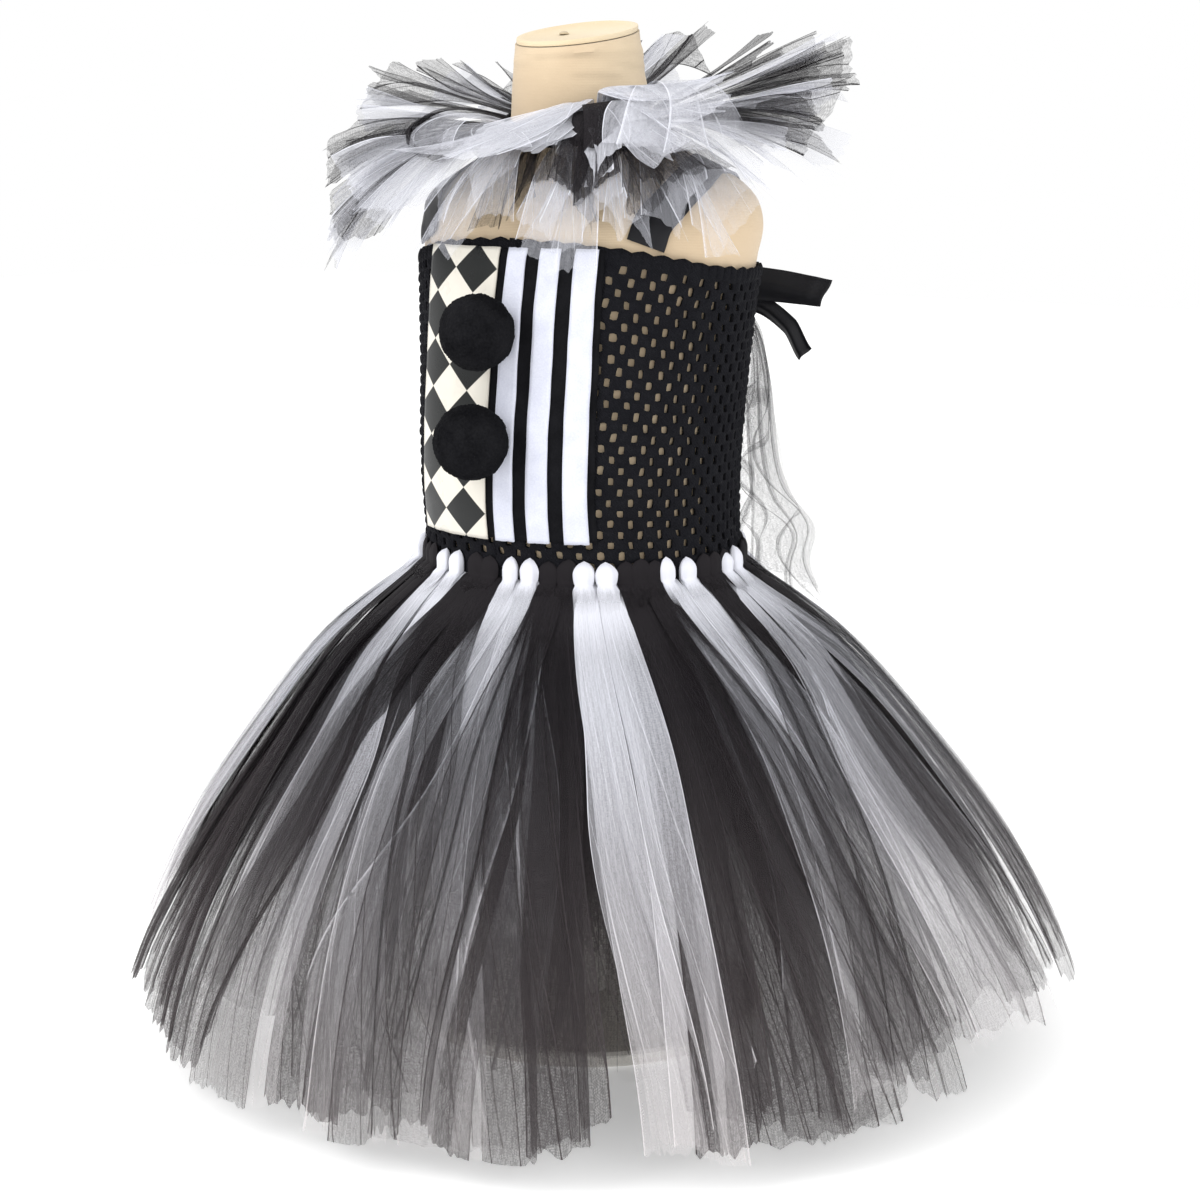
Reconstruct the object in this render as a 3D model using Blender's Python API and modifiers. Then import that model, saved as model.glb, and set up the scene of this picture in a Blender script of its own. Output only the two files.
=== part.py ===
"""A child's tutu clown dress worn by a limbless dress form, as Blender solids.

Metres, +Z up.  The front faces -Y and the wearer's left is +X.  The origin is the middle of the
underside of the stand's base plate, on the floor.
"""
import math
import random
from collections import namedtuple

import bmesh
import bpy
from mathutils import Vector

COLLECTION_NAME = "tutu_clown_dress_on_form"
CLEARANCE = 0.0004          # gap between flat pieces that touch
ROUND_CLEARANCE = 0.0010    # the same where faceted round pieces meet
SEED = 7
FACING_HEIGHT = 0.15        # the sheets face away from this point of the axis

# ---- the dress form: sections from the flat hip end up to the neck ----
Section = namedtuple("Section", "height half_width half_depth centre_y")
TORSO = (
    Section(0.205, 0.0960, 0.0860, 0.002),
    Section(0.214, 0.1060, 0.0950, 0.001),
    Section(0.250, 0.1080, 0.0970, -0.001),
    Section(0.290, 0.1040, 0.0950, -0.004),
    Section(0.325, 0.1010, 0.0930, -0.006),
    Section(0.360, 0.1015, 0.0935, -0.009),
    Section(0.400, 0.1035, 0.0930, -0.008),
    Section(0.440, 0.1065, 0.0915, -0.005),
    Section(0.480, 0.1100, 0.0900, -0.002),
    Section(0.510, 0.1150, 0.0870, 0.001),
    Section(0.528, 0.1190, 0.0820, 0.003),
    Section(0.544, 0.1150, 0.0740, 0.005),
    Section(0.556, 0.1020, 0.0640, 0.007),
    Section(0.567, 0.0800, 0.0550, 0.005),
    Section(0.578, 0.0580, 0.0480, 0.000),
    Section(0.590, 0.0475, 0.0450, -0.005),
    Section(0.612, 0.0430, 0.0430, -0.009),
    Section(0.632, 0.0405, 0.0410, -0.011),
    Section(0.646, 0.0390, 0.0395, -0.012),
)
WAIST = TORSO[4]
CHEST = TORSO[9]
TORSO_AROUND = 36
NECK_SLANT = 0.19           # rise of the neck's top face towards the back, per metre
NECK_SLANT_FROM = 0.612     # height where the slant begins
CAP_THICKNESS = 0.0035
CAP_INSET = 0.0008

# ---- the stand ----
BASE_RADIUS = 0.120
BASE_THICKNESS = 0.010
POLE_RADIUS = 0.0125
POLE_AROUND = 20
BASE_AROUND = 40

# ---- the crocheted tube top ----
TUBE_EASE = 0.0016          # from the form to the tube's inside
TUBE_WALL = 0.0022
TUBE_BOTTOM = 0.3120
TUBE_TOP_FRONT = 0.5190
TUBE_TOP_SIDE = 0.5010
TUBE_TOP_BACK = 0.5030
TUBE_AROUND = 36
TUBE_ROWS = 6

# ---- the front panel and its appliques ----
PANEL_LEFT = -0.0665
PANEL_RIGHT = 0.0640
PANEL_BOTTOM = 0.3380
PANEL_TOP = 0.5150
PANEL_WALL = 0.0012
APPLIQUE_WALL = 0.0012
APPLIQUE_MARGIN = 0.0015
DIAMONDS_RIGHT = -0.0030
Stripe = namedtuple("Stripe", "name left right")
STRIPES = (
    Stripe("stripe_inner", 0.0032, 0.0166),
    Stripe("stripe_middle", 0.0255, 0.0388),
    Stripe("stripe_outer", 0.0476, 0.0612),
)
POM_RADIUS = 0.0240
POM_SEAT = 0.84             # centre's distance from the panel, in radii: the back is pressed flat
Pom = namedtuple("Pom", "name height")
POMS = (Pom("pom_upper", 0.4665), Pom("pom_lower", 0.4000))
POM_X = 0.0012

# ---- straps, the tie at the back and the tulle that hangs from it ----
STRAP_WIDTH = 0.024
STRAP_WALL = 0.0012
STRAP_EASE = 0.0012
STRAP_STEPS = 16
PathPoint = namedtuple("PathPoint", "step azimuth height")
STRAP_PATH = (
    PathPoint(0, 44, 0.5180),
    PathPoint(1, 46, 0.5350),
    PathPoint(2, 60, 0.5540),
    PathPoint(3, 84, 0.5640),
    PathPoint(4, 108, 0.5650),
    PathPoint(5, 130, 0.5600),
    PathPoint(6, 149, 0.5440),
    PathPoint(7, 161, 0.5240),
    PathPoint(8, 165, 0.5100),
)
KNOT_RADIUS = 0.0095
KNOT_HEIGHT = 0.4920
KNOT_DEPTH_SCALE = 0.55
KNOT_STAND_OFF = 0.0075
TAIL_WIDTH = 0.0240
TAIL_WALL = 0.0010
TAIL_STEPS = 10
TAIL_NOTCH = 0.006          # depth of the swallow-tail cut
TAIL_TIP = Vector((0.35, 0.25, 0.0))
TailPoint = namedtuple("TailPoint", "x y z lean")
TAIL_UPPER = (
    TailPoint(0.0125, 0.1080, 0.4900, 0.0),
    TailPoint(0.0380, 0.1190, 0.4930, 0.1),
    TailPoint(0.0650, 0.1300, 0.4910, 0.2),
    TailPoint(0.0880, 0.1370, 0.4870, 0.3),
    TailPoint(0.1030, 0.1400, 0.4830, 0.3),
)
TAIL_LOWER = (
    TailPoint(0.0125, 0.1150, 0.4720, 0.2),
    TailPoint(0.0330, 0.1250, 0.4640, 0.5),
    TailPoint(0.0550, 0.1320, 0.4560, 0.7),
    TailPoint(0.0740, 0.1340, 0.4430, 0.8),
    TailPoint(0.0880, 0.1340, 0.4270, 0.8),
)
VEIL_WALL = 0.0012
VEIL_COLUMNS = 12
VeilRow = namedtuple("VeilRow", "height stand_off from_azimuth to_azimuth fold")
VEIL_ROWS = (
    VeilRow(0.4810, 0.0040, 168, 190, 0.0004),
    VeilRow(0.4580, 0.0065, 150, 194, 0.0012),
    VeilRow(0.4250, 0.0095, 137, 198, 0.0022),
    VeilRow(0.3850, 0.0130, 127, 202, 0.0030),
    VeilRow(0.3550, 0.0215, 119, 205, 0.0040),
    VeilRow(0.3300, 0.0400, 113, 207, 0.0045),
    VeilRow(0.3050, 0.0600, 111, 208, 0.0045),
    VeilRow(0.2740, 0.0820, 112, 207, 0.0045),
)

# ---- the skirt: gathered groups of tulle strips knotted on the tube's lower edge ----
SkirtRow = namedtuple("SkirtRow", "height reach fold")
SKIRT_ROWS = (
    SkirtRow(0.3260, 0.0000, 0.0000),
    SkirtRow(0.3125, 0.0000, 0.0000),
    SkirtRow(0.2980, 0.0180, 0.0010),
    SkirtRow(0.2530, 0.0700, 0.0032),
    SkirtRow(0.1950, 0.1180, 0.0046),
    SkirtRow(0.1300, 0.1650, 0.0056),
    SkirtRow(0.0700, 0.1970, 0.0064),
    SkirtRow(0.0180, 0.2140, 0.0068),
)
SKIRT_CENTRE_SHIFT = 0.022  # how far the hem's middle lies behind the waist's
SKIRT_WALL = 0.0015
KNOT_WALL = 0.0075
SKIRT_COLUMNS = 8
SKIRT_OPEN_ROW = 4          # row by which a group has its full share of the round
HEM_UNEVEN = 0.0065
WHITE_AZIMUTHS = (-21, 10, 36, 67, 103, 138, 171, 204, 237, 269, 302)
WHITE_HALF_ANGLE_TOP = 7.0
WHITE_HALF_ANGLE_HEM = 8.2
WHITE_PROUD = 0.0025
GROUP_GAP_TOP = 0.0020
GROUP_GAP_HEM = 0.0055

# ---- the ruff: two tiers of tulle round a neck band ----
BAND_BOTTOM = 0.5845
BAND_TOP = 0.5985
BAND_EASE = 0.0014
BAND_WALL = 0.0016
BAND_AROUND = 36
RUFF_SECTORS = 8
RUFF_COLUMNS = 8
RUFF_WALL = 0.0012
RUFF_FOLD = 0.0060
RUFF_POINTED = 0.0090       # how far every other strip end falls short
RUFF_OVER_SHOULDER = 0.0060
RUFF_SECTOR_GAP = 1.5       # degrees
RuffReach = namedtuple("RuffReach", "azimuth reach tip_height crown")
RUFF_UPPER = (
    RuffReach(-56, 0.176, 0.619, 0.610),
    RuffReach(-22, 0.150, 0.585, 0.606),
    RuffReach(10, 0.128, 0.566, 0.602),
    RuffReach(36, 0.126, 0.562, 0.602),
    RuffReach(62, 0.138, 0.582, 0.605),
    RuffReach(92, 0.168, 0.624, 0.611),
    RuffReach(124, 0.180, 0.648, 0.618),
    RuffReach(165, 0.176, 0.655, 0.622),
    RuffReach(214, 0.166, 0.650, 0.622),
    RuffReach(262, 0.172, 0.632, 0.616),
)
RUFF_LOWER = (
    RuffReach(-56, 0.176, 0.514, 0.594),
    RuffReach(-22, 0.138, 0.507, 0.586),
    RuffReach(10, 0.121, 0.513, 0.585),
    RuffReach(36, 0.124, 0.507, 0.585),
    RuffReach(62, 0.138, 0.514, 0.590),
    RuffReach(92, 0.168, 0.532, 0.598),
    RuffReach(124, 0.181, 0.556, 0.603),
    RuffReach(165, 0.172, 0.552, 0.603),
    RuffReach(214, 0.168, 0.548, 0.603),
    RuffReach(262, 0.174, 0.545, 0.601),
)
RUFF_UPPER_START = 0.5975
RUFF_LOWER_START = 0.5870
RUFF_STEPS = (0.0, 0.22, 0.58, 1.0)

Finish = namedtuple("Finish", "name color roughness metallic")
COVER = Finish("cream_form_cover", (0.78, 0.66, 0.48), 0.85, 0.0)
STAND = Finish("cream_stand_paint", (0.82, 0.78, 0.70), 0.45, 0.0)
CROCHET = Finish("black_crochet", (0.012, 0.012, 0.014), 0.90, 0.0)
BACKING = Finish("black_felt", (0.010, 0.010, 0.011), 0.95, 0.0)
LEATHERETTE = Finish("cream_leatherette", (0.86, 0.83, 0.76), 0.30, 0.0)
FELT = Finish("white_felt", (0.72, 0.74, 0.84), 0.95, 0.0)
FLEECE = Finish("black_fleece", (0.008, 0.008, 0.009), 1.0, 0.0)
SATIN = Finish("black_satin", (0.010, 0.010, 0.012), 0.35, 0.0)
BLACK_TULLE = Finish("black_tulle", (0.020, 0.020, 0.022), 0.90, 0.0)
WHITE_TULLE = Finish("white_tulle", (0.82, 0.83, 0.88), 0.90, 0.0)


# ---------------------------------------------------------------- small tools

def clear_scene():
    """Removes every object of the start-up scene."""
    for obj in list(bpy.data.objects):
        bpy.data.objects.remove(obj, do_unlink=True)


def material(finish):
    """One Principled material for each finish, made once."""
    found = bpy.data.materials.get(finish.name)
    if found:
        return found
    made = bpy.data.materials.new(finish.name)
    made.use_nodes = True
    shader = made.node_tree.nodes["Principled BSDF"]
    shader.inputs["Base Color"].default_value = (*finish.color, 1.0)
    shader.inputs["Roughness"].default_value = finish.roughness
    shader.inputs["Metallic"].default_value = finish.metallic
    return made


def add_object(name, bm, finish, smooth=True):
    """Writes a bmesh to a new object in the part's collection."""
    mesh = bpy.data.meshes.new(name)
    bm.to_mesh(mesh)
    bm.free()
    obj = bpy.data.objects.new(name, mesh)
    bpy.data.collections[COLLECTION_NAME].objects.link(obj)
    mesh.materials.append(material(finish))
    if smooth:
        mesh.shade_smooth()
        mesh.set_sharp_from_angle(angle=math.radians(40))
    return obj


def blend_rows(before, low, high, after, share):
    """Catmull-Rom blend between low and high."""
    return 0.5 * (2 * low + (high - before) * share
                  + (2 * before - 5 * low + 4 * high - after) * share ** 2
                  + (3 * low - before - 3 * high + after) * share ** 3)


def read_column(table, key, value, column):
    """Smooth value of a column where the table's key column, which rises, has a given value."""
    keys = [getattr(row, key) for row in table]
    value = min(max(value, keys[0]), keys[-1])
    step = max(index for index in range(len(keys) - 1) if keys[index] <= value)
    share = (value - keys[step]) / (keys[step + 1] - keys[step])
    picks = [max(step - 1, 0), step, step + 1, min(step + 2, len(keys) - 1)]
    return blend_rows(*[getattr(table[pick], column) for pick in picks], share)


def read_round(table, azimuth, column):
    """Value of a column of a table that goes once round in azimuth."""
    start = table[0].azimuth
    azimuth = start + (azimuth - start) % 360
    first = [row._replace(azimuth=row.azimuth + 360) for row in table[:1]]
    return read_column(tuple(table) + tuple(first), "azimuth", azimuth, column)


def torso_point(azimuth, height, out=0.0):
    """Point on the form, moved out; azimuth in degrees, 0 at the front and 90 at +X."""
    turn = math.radians(azimuth)
    half_width = read_column(TORSO, "height", height, "half_width") + out
    half_depth = read_column(TORSO, "height", height, "half_depth") + out
    centre = read_column(TORSO, "height", height, "centre_y")
    return Vector((half_width * math.sin(turn), centre - half_depth * math.cos(turn), height))


def azimuth_at(x, height, out):
    """Azimuth on the front half where the form, moved out, has a given x."""
    half_width = read_column(TORSO, "height", height, "half_width") + out
    return math.degrees(math.asin(x / half_width))


def shoulder_height(x, y):
    """Height of the form's upper side over a point, or 0 beyond its shoulders."""
    top, bottom = BAND_BOTTOM, CHEST.height
    steps = 40
    for index in range(steps + 1):
        height = top + (bottom - top) * index / steps
        half_width = read_column(TORSO, "height", height, "half_width")
        half_depth = read_column(TORSO, "height", height, "half_depth")
        centre = read_column(TORSO, "height", height, "centre_y")
        if (x / half_width) ** 2 + ((y - centre) / half_depth) ** 2 <= 1:
            return height
    return 0.0


def sheet(name, columns, rows, place, wall, finish, closed=False):
    """A wall of cloth: a grid whose points place(u, v) sets, thickened away from the form."""
    bm = bmesh.new()
    bmesh.ops.create_grid(bm, x_segments=columns, y_segments=rows, size=0.5)
    for vert in bm.verts:
        vert.co = place(vert.co.x + 0.5, vert.co.y + 0.5)
    if closed:
        bmesh.ops.remove_doubles(bm, verts=bm.verts, dist=0.00001)
    obj = add_object(name, bm, finish)
    solid = obj.modifiers.new("wall", "SOLIDIFY")
    solid.thickness = wall
    solid.offset = 1.0
    return obj


# ---------------------------------------------------------------- the dress form

def slanted(point):
    """Tips the neck's upper end so that its top face leans forward."""
    span = TORSO[-1].height - NECK_SLANT_FROM
    share = min(max((point.z - NECK_SLANT_FROM) / span, 0.0), 1.0)
    return point + Vector((0, 0, NECK_SLANT * point.y * share))


def build_form():
    """The torso as a loft through its sections, closed by a flat face at each end."""
    bm = bmesh.new()
    rings = []
    for section in TORSO:
        ring = [bm.verts.new(slanted(torso_point(360 * step / TORSO_AROUND, section.height)))
                for step in range(TORSO_AROUND)]
        rings.append(ring)
    for lower, upper in zip(rings, rings[1:]):
        for step in range(TORSO_AROUND):
            after = (step + 1) % TORSO_AROUND
            bm.faces.new((lower[step], lower[after], upper[after], upper[step]))
    bm.faces.new(list(reversed(rings[0])))
    bm.faces.new(rings[-1])
    bmesh.ops.recalc_face_normals(bm, faces=bm.faces)
    add_object("form_torso", bm, COVER)


def build_neck_cap():
    """A thin plate on the neck's slanted top face."""
    top = TORSO[-1]
    bm = bmesh.new()
    bmesh.ops.create_cone(bm, cap_ends=True, segments=TORSO_AROUND, radius1=1.0, radius2=1.0, depth=1.0)
    for vert in bm.verts:
        side = Vector((vert.co.x * (top.half_width - CAP_INSET), vert.co.y * (top.half_depth - CAP_INSET), 0))
        lift = CLEARANCE + (CAP_THICKNESS if vert.co.z > 0 else 0.0)
        vert.co = Vector((side.x, side.y + top.centre_y, top.height + NECK_SLANT * side.y + lift))
    add_object("form_neck_cap", bm, COVER)


def build_stand():
    """A round base plate on the floor and a pole up into the form's flat end."""
    bm = bmesh.new()
    bmesh.ops.create_cone(bm, cap_ends=True, segments=BASE_AROUND, radius1=BASE_RADIUS,
                          radius2=BASE_RADIUS, depth=BASE_THICKNESS)
    bmesh.ops.translate(bm, verts=bm.verts, vec=(0, 0, BASE_THICKNESS / 2))
    base = add_object("stand_base", bm, STAND)
    edge = base.modifiers.new("edge", "BEVEL")
    edge.width = 0.002
    edge.segments = 1
    edge.limit_method = "ANGLE"
    bottom = BASE_THICKNESS + CLEARANCE
    top = TORSO[0].height - CLEARANCE
    bm = bmesh.new()
    bmesh.ops.create_cone(bm, cap_ends=True, segments=POLE_AROUND, radius1=POLE_RADIUS,
                          radius2=POLE_RADIUS, depth=top - bottom)
    bmesh.ops.translate(bm, verts=bm.verts, vec=(0, 0, (top + bottom) / 2))
    add_object("stand_pole", bm, STAND)


# ---------------------------------------------------------------- the bodice

def tube_top(azimuth):
    """Height of the tube's upper edge, highest at the middle of the front."""
    front = max(math.cos(math.radians(azimuth)), 0.0) ** 1.5
    back = max(-math.cos(math.radians(azimuth)), 0.0) ** 1.5
    return TUBE_TOP_SIDE + (TUBE_TOP_FRONT - TUBE_TOP_SIDE) * front + (TUBE_TOP_BACK - TUBE_TOP_SIDE) * back


def build_tube():
    """The crocheted tube as one wall round the form."""
    def place(u, v):
        azimuth = 360 * u
        return torso_point(azimuth, TUBE_BOTTOM + (tube_top(azimuth) - TUBE_BOTTOM) * v, TUBE_EASE)
    sheet("bodice_tube", TUBE_AROUND, TUBE_ROWS, place, TUBE_WALL, CROCHET, closed=True)


def front_piece(name, left, right, bottom, top, level, wall, finish, columns, rows):
    """A flat-cut piece that follows the tube's front; level counts from the tube's outside."""
    out = TUBE_EASE + TUBE_WALL + level

    def place(u, v):
        height = bottom + (top - bottom) * v
        azimuth = azimuth_at(left + (right - left) * u, height, out)
        return torso_point(azimuth, height, out)
    sheet(name, columns, rows, place, wall, finish)


def build_panel():
    """Backing, the harlequin half, and three felt stripes."""
    front_piece("panel_backing", PANEL_LEFT, PANEL_RIGHT, PANEL_BOTTOM, PANEL_TOP,
                ROUND_CLEARANCE, PANEL_WALL, BACKING, columns=12, rows=7)
    level = ROUND_CLEARANCE + PANEL_WALL + CLEARANCE
    bottom = PANEL_BOTTOM + APPLIQUE_MARGIN
    top = PANEL_TOP - APPLIQUE_MARGIN
    front_piece("panel_diamonds", PANEL_LEFT + APPLIQUE_MARGIN, DIAMONDS_RIGHT, bottom, top,
                level, APPLIQUE_WALL, LEATHERETTE, columns=7, rows=7)
    for stripe in STRIPES:
        front_piece(stripe.name, stripe.left, stripe.right, bottom, top,
                    level, APPLIQUE_WALL, FELT, columns=2, rows=7)


def build_poms():
    """Two round pompoms on the seam between the halves, pressed a little flat at the back."""
    face = TUBE_EASE + TUBE_WALL + ROUND_CLEARANCE + PANEL_WALL + CLEARANCE + APPLIQUE_WALL + CLEARANCE
    for pom in POMS:
        seat = torso_point(azimuth_at(POM_X, pom.height, face), pom.height, face)
        flat = seat.y - ROUND_CLEARANCE
        bm = bmesh.new()
        bmesh.ops.create_uvsphere(bm, u_segments=14, v_segments=8, radius=POM_RADIUS)
        bmesh.ops.translate(bm, verts=bm.verts, vec=(seat.x, flat - POM_RADIUS * POM_SEAT, seat.z))
        for vert in bm.verts:
            vert.co.y = min(vert.co.y, flat)
        add_object(pom.name, bm, FLEECE)


# ---------------------------------------------------------------- straps and the tie at the back

def strap_place(share, side):
    """Azimuth and height a share of the way along a strap; side is 1 for +X and -1 for -X."""
    step = STRAP_PATH[-1].step * min(max(share, 0.0), 1.0)
    azimuth = side * read_column(STRAP_PATH, "step", step, "azimuth")
    return azimuth, read_column(STRAP_PATH, "step", step, "height")


def form_normal(azimuth, height):
    """Outward direction of the form at a point."""
    turn_step, rise = 1.0, 0.002
    across = torso_point(azimuth + turn_step, height) - torso_point(azimuth - turn_step, height)
    up = torso_point(azimuth, height + rise) - torso_point(azimuth, height - rise)
    return across.cross(up).normalized()


def build_straps():
    """A ribbon strap over each shoulder, from the front edge to the middle of the back."""
    for name, side in (("strap_left", 1), ("strap_right", -1)):
        def place(u, v, side=side):
            middle, before, after = [torso_point(*strap_place(share, side), STRAP_EASE)
                                     for share in (v, v - 1 / STRAP_STEPS, v + 1 / STRAP_STEPS)]
            across = (after - before).cross(form_normal(*strap_place(v, side))).normalized()
            return middle + across * STRAP_WIDTH * (u - 0.5)
        obj = sheet(name, 2, STRAP_STEPS, place, STRAP_WALL, SATIN)
        face_outwards(obj)


def face_outwards(obj):
    """Turns an open sheet's faces away from the form's axis and upwards."""
    bm = bmesh.new()
    bm.from_mesh(obj.data)
    bm.normal_update()
    middle = Vector((0, 0, FACING_HEIGHT))
    lean = sum(face.normal.dot(face.calc_center_median() - middle) for face in bm.faces)
    if lean < 0:
        bmesh.ops.reverse_faces(bm, faces=bm.faces)
    bm.to_mesh(obj.data)
    bm.free()


def build_tie():
    """A flattened knot at the middle of the back and the two ribbon ends that leave it."""
    seat = torso_point(180, KNOT_HEIGHT, TUBE_EASE + TUBE_WALL + KNOT_STAND_OFF)
    bm = bmesh.new()
    bmesh.ops.create_uvsphere(bm, u_segments=12, v_segments=8, radius=KNOT_RADIUS)
    for vert in bm.verts:
        vert.co = Vector((vert.co.x, vert.co.y * KNOT_DEPTH_SCALE, vert.co.z)) + seat
    add_object("tie_knot", bm, SATIN)
    for name, points in (("tie_tail_upper", TAIL_UPPER), ("tie_tail_lower", TAIL_LOWER)):
        build_tail(name, points)


def build_tail(name, points):
    """One ribbon end; lean is how far its width tips over from upright."""
    def place(u, v):
        x = points[0].x + (points[-1].x - points[0].x) * v
        middle = Vector((x, read_column(points, "x", x, "y"), read_column(points, "x", x, "z")))
        across = (TAIL_TIP * read_column(points, "x", x, "lean") + Vector((0, 0, 1))).normalized()
        notch = TAIL_NOTCH if u == 0.5 and v == 1.0 else 0.0
        return middle + across * TAIL_WIDTH * (u - 0.5) - Vector((notch, 0, 0))
    sheet(name, 2, TAIL_STEPS, place, TAIL_WALL, SATIN)


def build_veil():
    """The sheer length of tulle that hangs from the tie and spreads over the skirt's top."""
    def place(u, v):
        row = VEIL_ROWS[round(v * (len(VEIL_ROWS) - 1))]
        azimuth = row.from_azimuth + (row.to_azimuth - row.from_azimuth) * u
        wave = row.fold * (1 if round(u * VEIL_COLUMNS) % 2 else -1)
        height = max(row.height, WAIST.height)
        out = TUBE_EASE + TUBE_WALL + row.stand_off + wave
        point = torso_point(azimuth, height, out)
        return Vector((point.x, point.y, row.height))
    obj = sheet("back_veil", VEIL_COLUMNS, len(VEIL_ROWS) - 1, place, VEIL_WALL, BLACK_TULLE)
    face_outwards(obj)


# ---------------------------------------------------------------- the skirt

def skirt_point(azimuth, row, extra):
    """Point of the skirt's inner face; it opens from the tube's ellipse to a wide round hem."""
    start = SKIRT_ROWS[1]
    drop = max((start.height - row.height) / (start.height - SKIRT_ROWS[-1].height), 0.0)
    waist = TUBE_EASE + TUBE_WALL + ROUND_CLEARANCE
    flank = torso_point(azimuth, max(row.height, TUBE_BOTTOM), waist)
    turn = math.radians(azimuth)
    away = Vector((math.sin(turn), -math.cos(turn), 0)) * (row.reach + extra)
    shift = Vector((0, SKIRT_CENTRE_SHIFT * drop, row.height - flank.z))
    return flank + away + shift


def build_group(name, middle, half_top, half_hem, proud, finish, draw):
    """One group of strips: narrow and thick where it is knotted, fanned and folded at the hem."""
    last = len(SKIRT_ROWS) - 1
    strength = [draw.uniform(0.65, 1.2) for _ in range(SKIRT_COLUMNS + 1)]
    uneven = [draw.uniform(-1, 1) * HEM_UNEVEN for _ in range(SKIRT_COLUMNS + 1)]

    def place(u, v):
        column, index = round(u * SKIRT_COLUMNS), round(v * last)
        row = SKIRT_ROWS[index]
        opened = min(index / SKIRT_OPEN_ROW, 1.0)
        half = half_top + (half_hem - half_top) * opened
        fold = row.fold * strength[column] * (1 if column % 2 else -1)
        point = skirt_point(middle + half * (2 * u - 1), row, fold + proud * opened)
        if index == last:
            point.z += uneven[column]
        return point
    obj = sheet(name, SKIRT_COLUMNS, last, place, KNOT_WALL, finish)
    face_outwards(obj)
    group = obj.vertex_groups.new(name="knot")
    knotted = [vert.index for vert in obj.data.vertices if vert.co.z > SKIRT_ROWS[1].height - CLEARANCE]
    group.add(knotted, 1.0, "REPLACE")
    solid = obj.modifiers["wall"]
    solid.vertex_group = group.name
    solid.thickness_vertex_group = SKIRT_WALL / KNOT_WALL


def build_skirt():
    """White pairs of strips at their own azimuths, and a black group between each two."""
    draw = random.Random(SEED)
    gap_top = math.degrees(GROUP_GAP_TOP / WAIST.half_width)
    gap_hem = math.degrees(GROUP_GAP_HEM / (WAIST.half_width + SKIRT_ROWS[-1].reach))
    for index, azimuth in enumerate(WHITE_AZIMUTHS):
        after = WHITE_AZIMUTHS[(index + 1) % len(WHITE_AZIMUTHS)]
        spacing = (after - azimuth) % 360
        build_group(f"skirt_white_{index + 1:02d}", azimuth, WHITE_HALF_ANGLE_TOP, WHITE_HALF_ANGLE_HEM,
                    WHITE_PROUD, WHITE_TULLE, draw)
        build_group(f"skirt_black_{index + 1:02d}", azimuth + spacing / 2,
                    spacing / 2 - WHITE_HALF_ANGLE_TOP - gap_top,
                    spacing / 2 - WHITE_HALF_ANGLE_HEM - gap_hem,
                    0.0, BLACK_TULLE, draw)


# ---------------------------------------------------------------- the ruff

def build_band():
    """The neck band that the ruff's strips are knotted on."""
    def place(u, v):
        return torso_point(360 * u, BAND_BOTTOM + (BAND_TOP - BAND_BOTTOM) * v, BAND_EASE)
    sheet("neck_band", BAND_AROUND, 2, place, BAND_WALL, CROCHET, closed=True)


def ruff_point(table, start_height, azimuth, share, short):
    """Point on a tier of the ruff, a share of the way out along a curve over the shoulder."""
    turn = math.radians(azimuth)
    away = Vector((math.sin(turn), -math.cos(turn), 0))
    base = torso_point(azimuth, start_height, BAND_EASE + BAND_WALL + ROUND_CLEARANCE)
    base.z = 0.0
    inner = base.length
    reach = read_round(table, azimuth, "reach") - short
    tip = read_round(table, azimuth, "tip_height")
    crown = read_round(table, azimuth, "crown")
    middle = inner + 0.50 * (reach - inner)
    radius = inner * (1 - share) ** 2 + 2 * middle * share * (1 - share) + reach * share ** 2
    height = start_height * (1 - share) ** 2 + 2 * crown * share * (1 - share) + tip * share ** 2
    point = base.lerp(away * inner, share).normalized() * radius
    return Vector((point.x, point.y, height))


def build_tier(name, table, start_height, turn_start, draw):
    """One tier of the ruff in sectors, waved up and down and pointed at its edge."""
    span = 360 / RUFF_SECTORS
    for sector in range(RUFF_SECTORS):
        first = turn_start + span * sector + RUFF_SECTOR_GAP / 2
        strength = [draw.uniform(0.6, 1.2) for _ in range(RUFF_COLUMNS + 1)]

        def place(u, v, first=first, strength=strength):
            column, share = round(u * RUFF_COLUMNS), RUFF_STEPS[round(v * (len(RUFF_STEPS) - 1))]
            azimuth = first + (span - RUFF_SECTOR_GAP) * u
            up = 1 if column % 2 else -1
            point = ruff_point(table, start_height, azimuth, share, RUFF_POINTED * (1 - up) / 2 * share)
            point.z += up * RUFF_FOLD * strength[column] * share
            floor = shoulder_height(point.x, point.y)
            if share and floor:
                point.z = max(point.z, floor + RUFF_OVER_SHOULDER)
            return point
        obj = sheet(f"{name}_{sector + 1}", RUFF_COLUMNS, len(RUFF_STEPS) - 1, place, RUFF_WALL,
                    BLACK_TULLE if sector % 2 else WHITE_TULLE)
        face_outwards(obj)


def build_ruff():
    """Band, upper tier and lower tier."""
    draw = random.Random(SEED + 1)
    build_band()
    build_tier("ruff_upper", RUFF_UPPER, RUFF_UPPER_START, 0.0, draw)
    build_tier("ruff_lower", RUFF_LOWER, RUFF_LOWER_START, 22.5, draw)


def main():
    """Builds every piece in order, from the stand up."""
    clear_scene()
    collection = bpy.data.collections.new(COLLECTION_NAME)
    bpy.context.scene.collection.children.link(collection)
    build_stand()
    build_form()
    build_neck_cap()
    build_tube()
    build_panel()
    build_poms()
    build_straps()
    build_tie()
    build_veil()
    build_skirt()
    build_ruff()


main()
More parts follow.
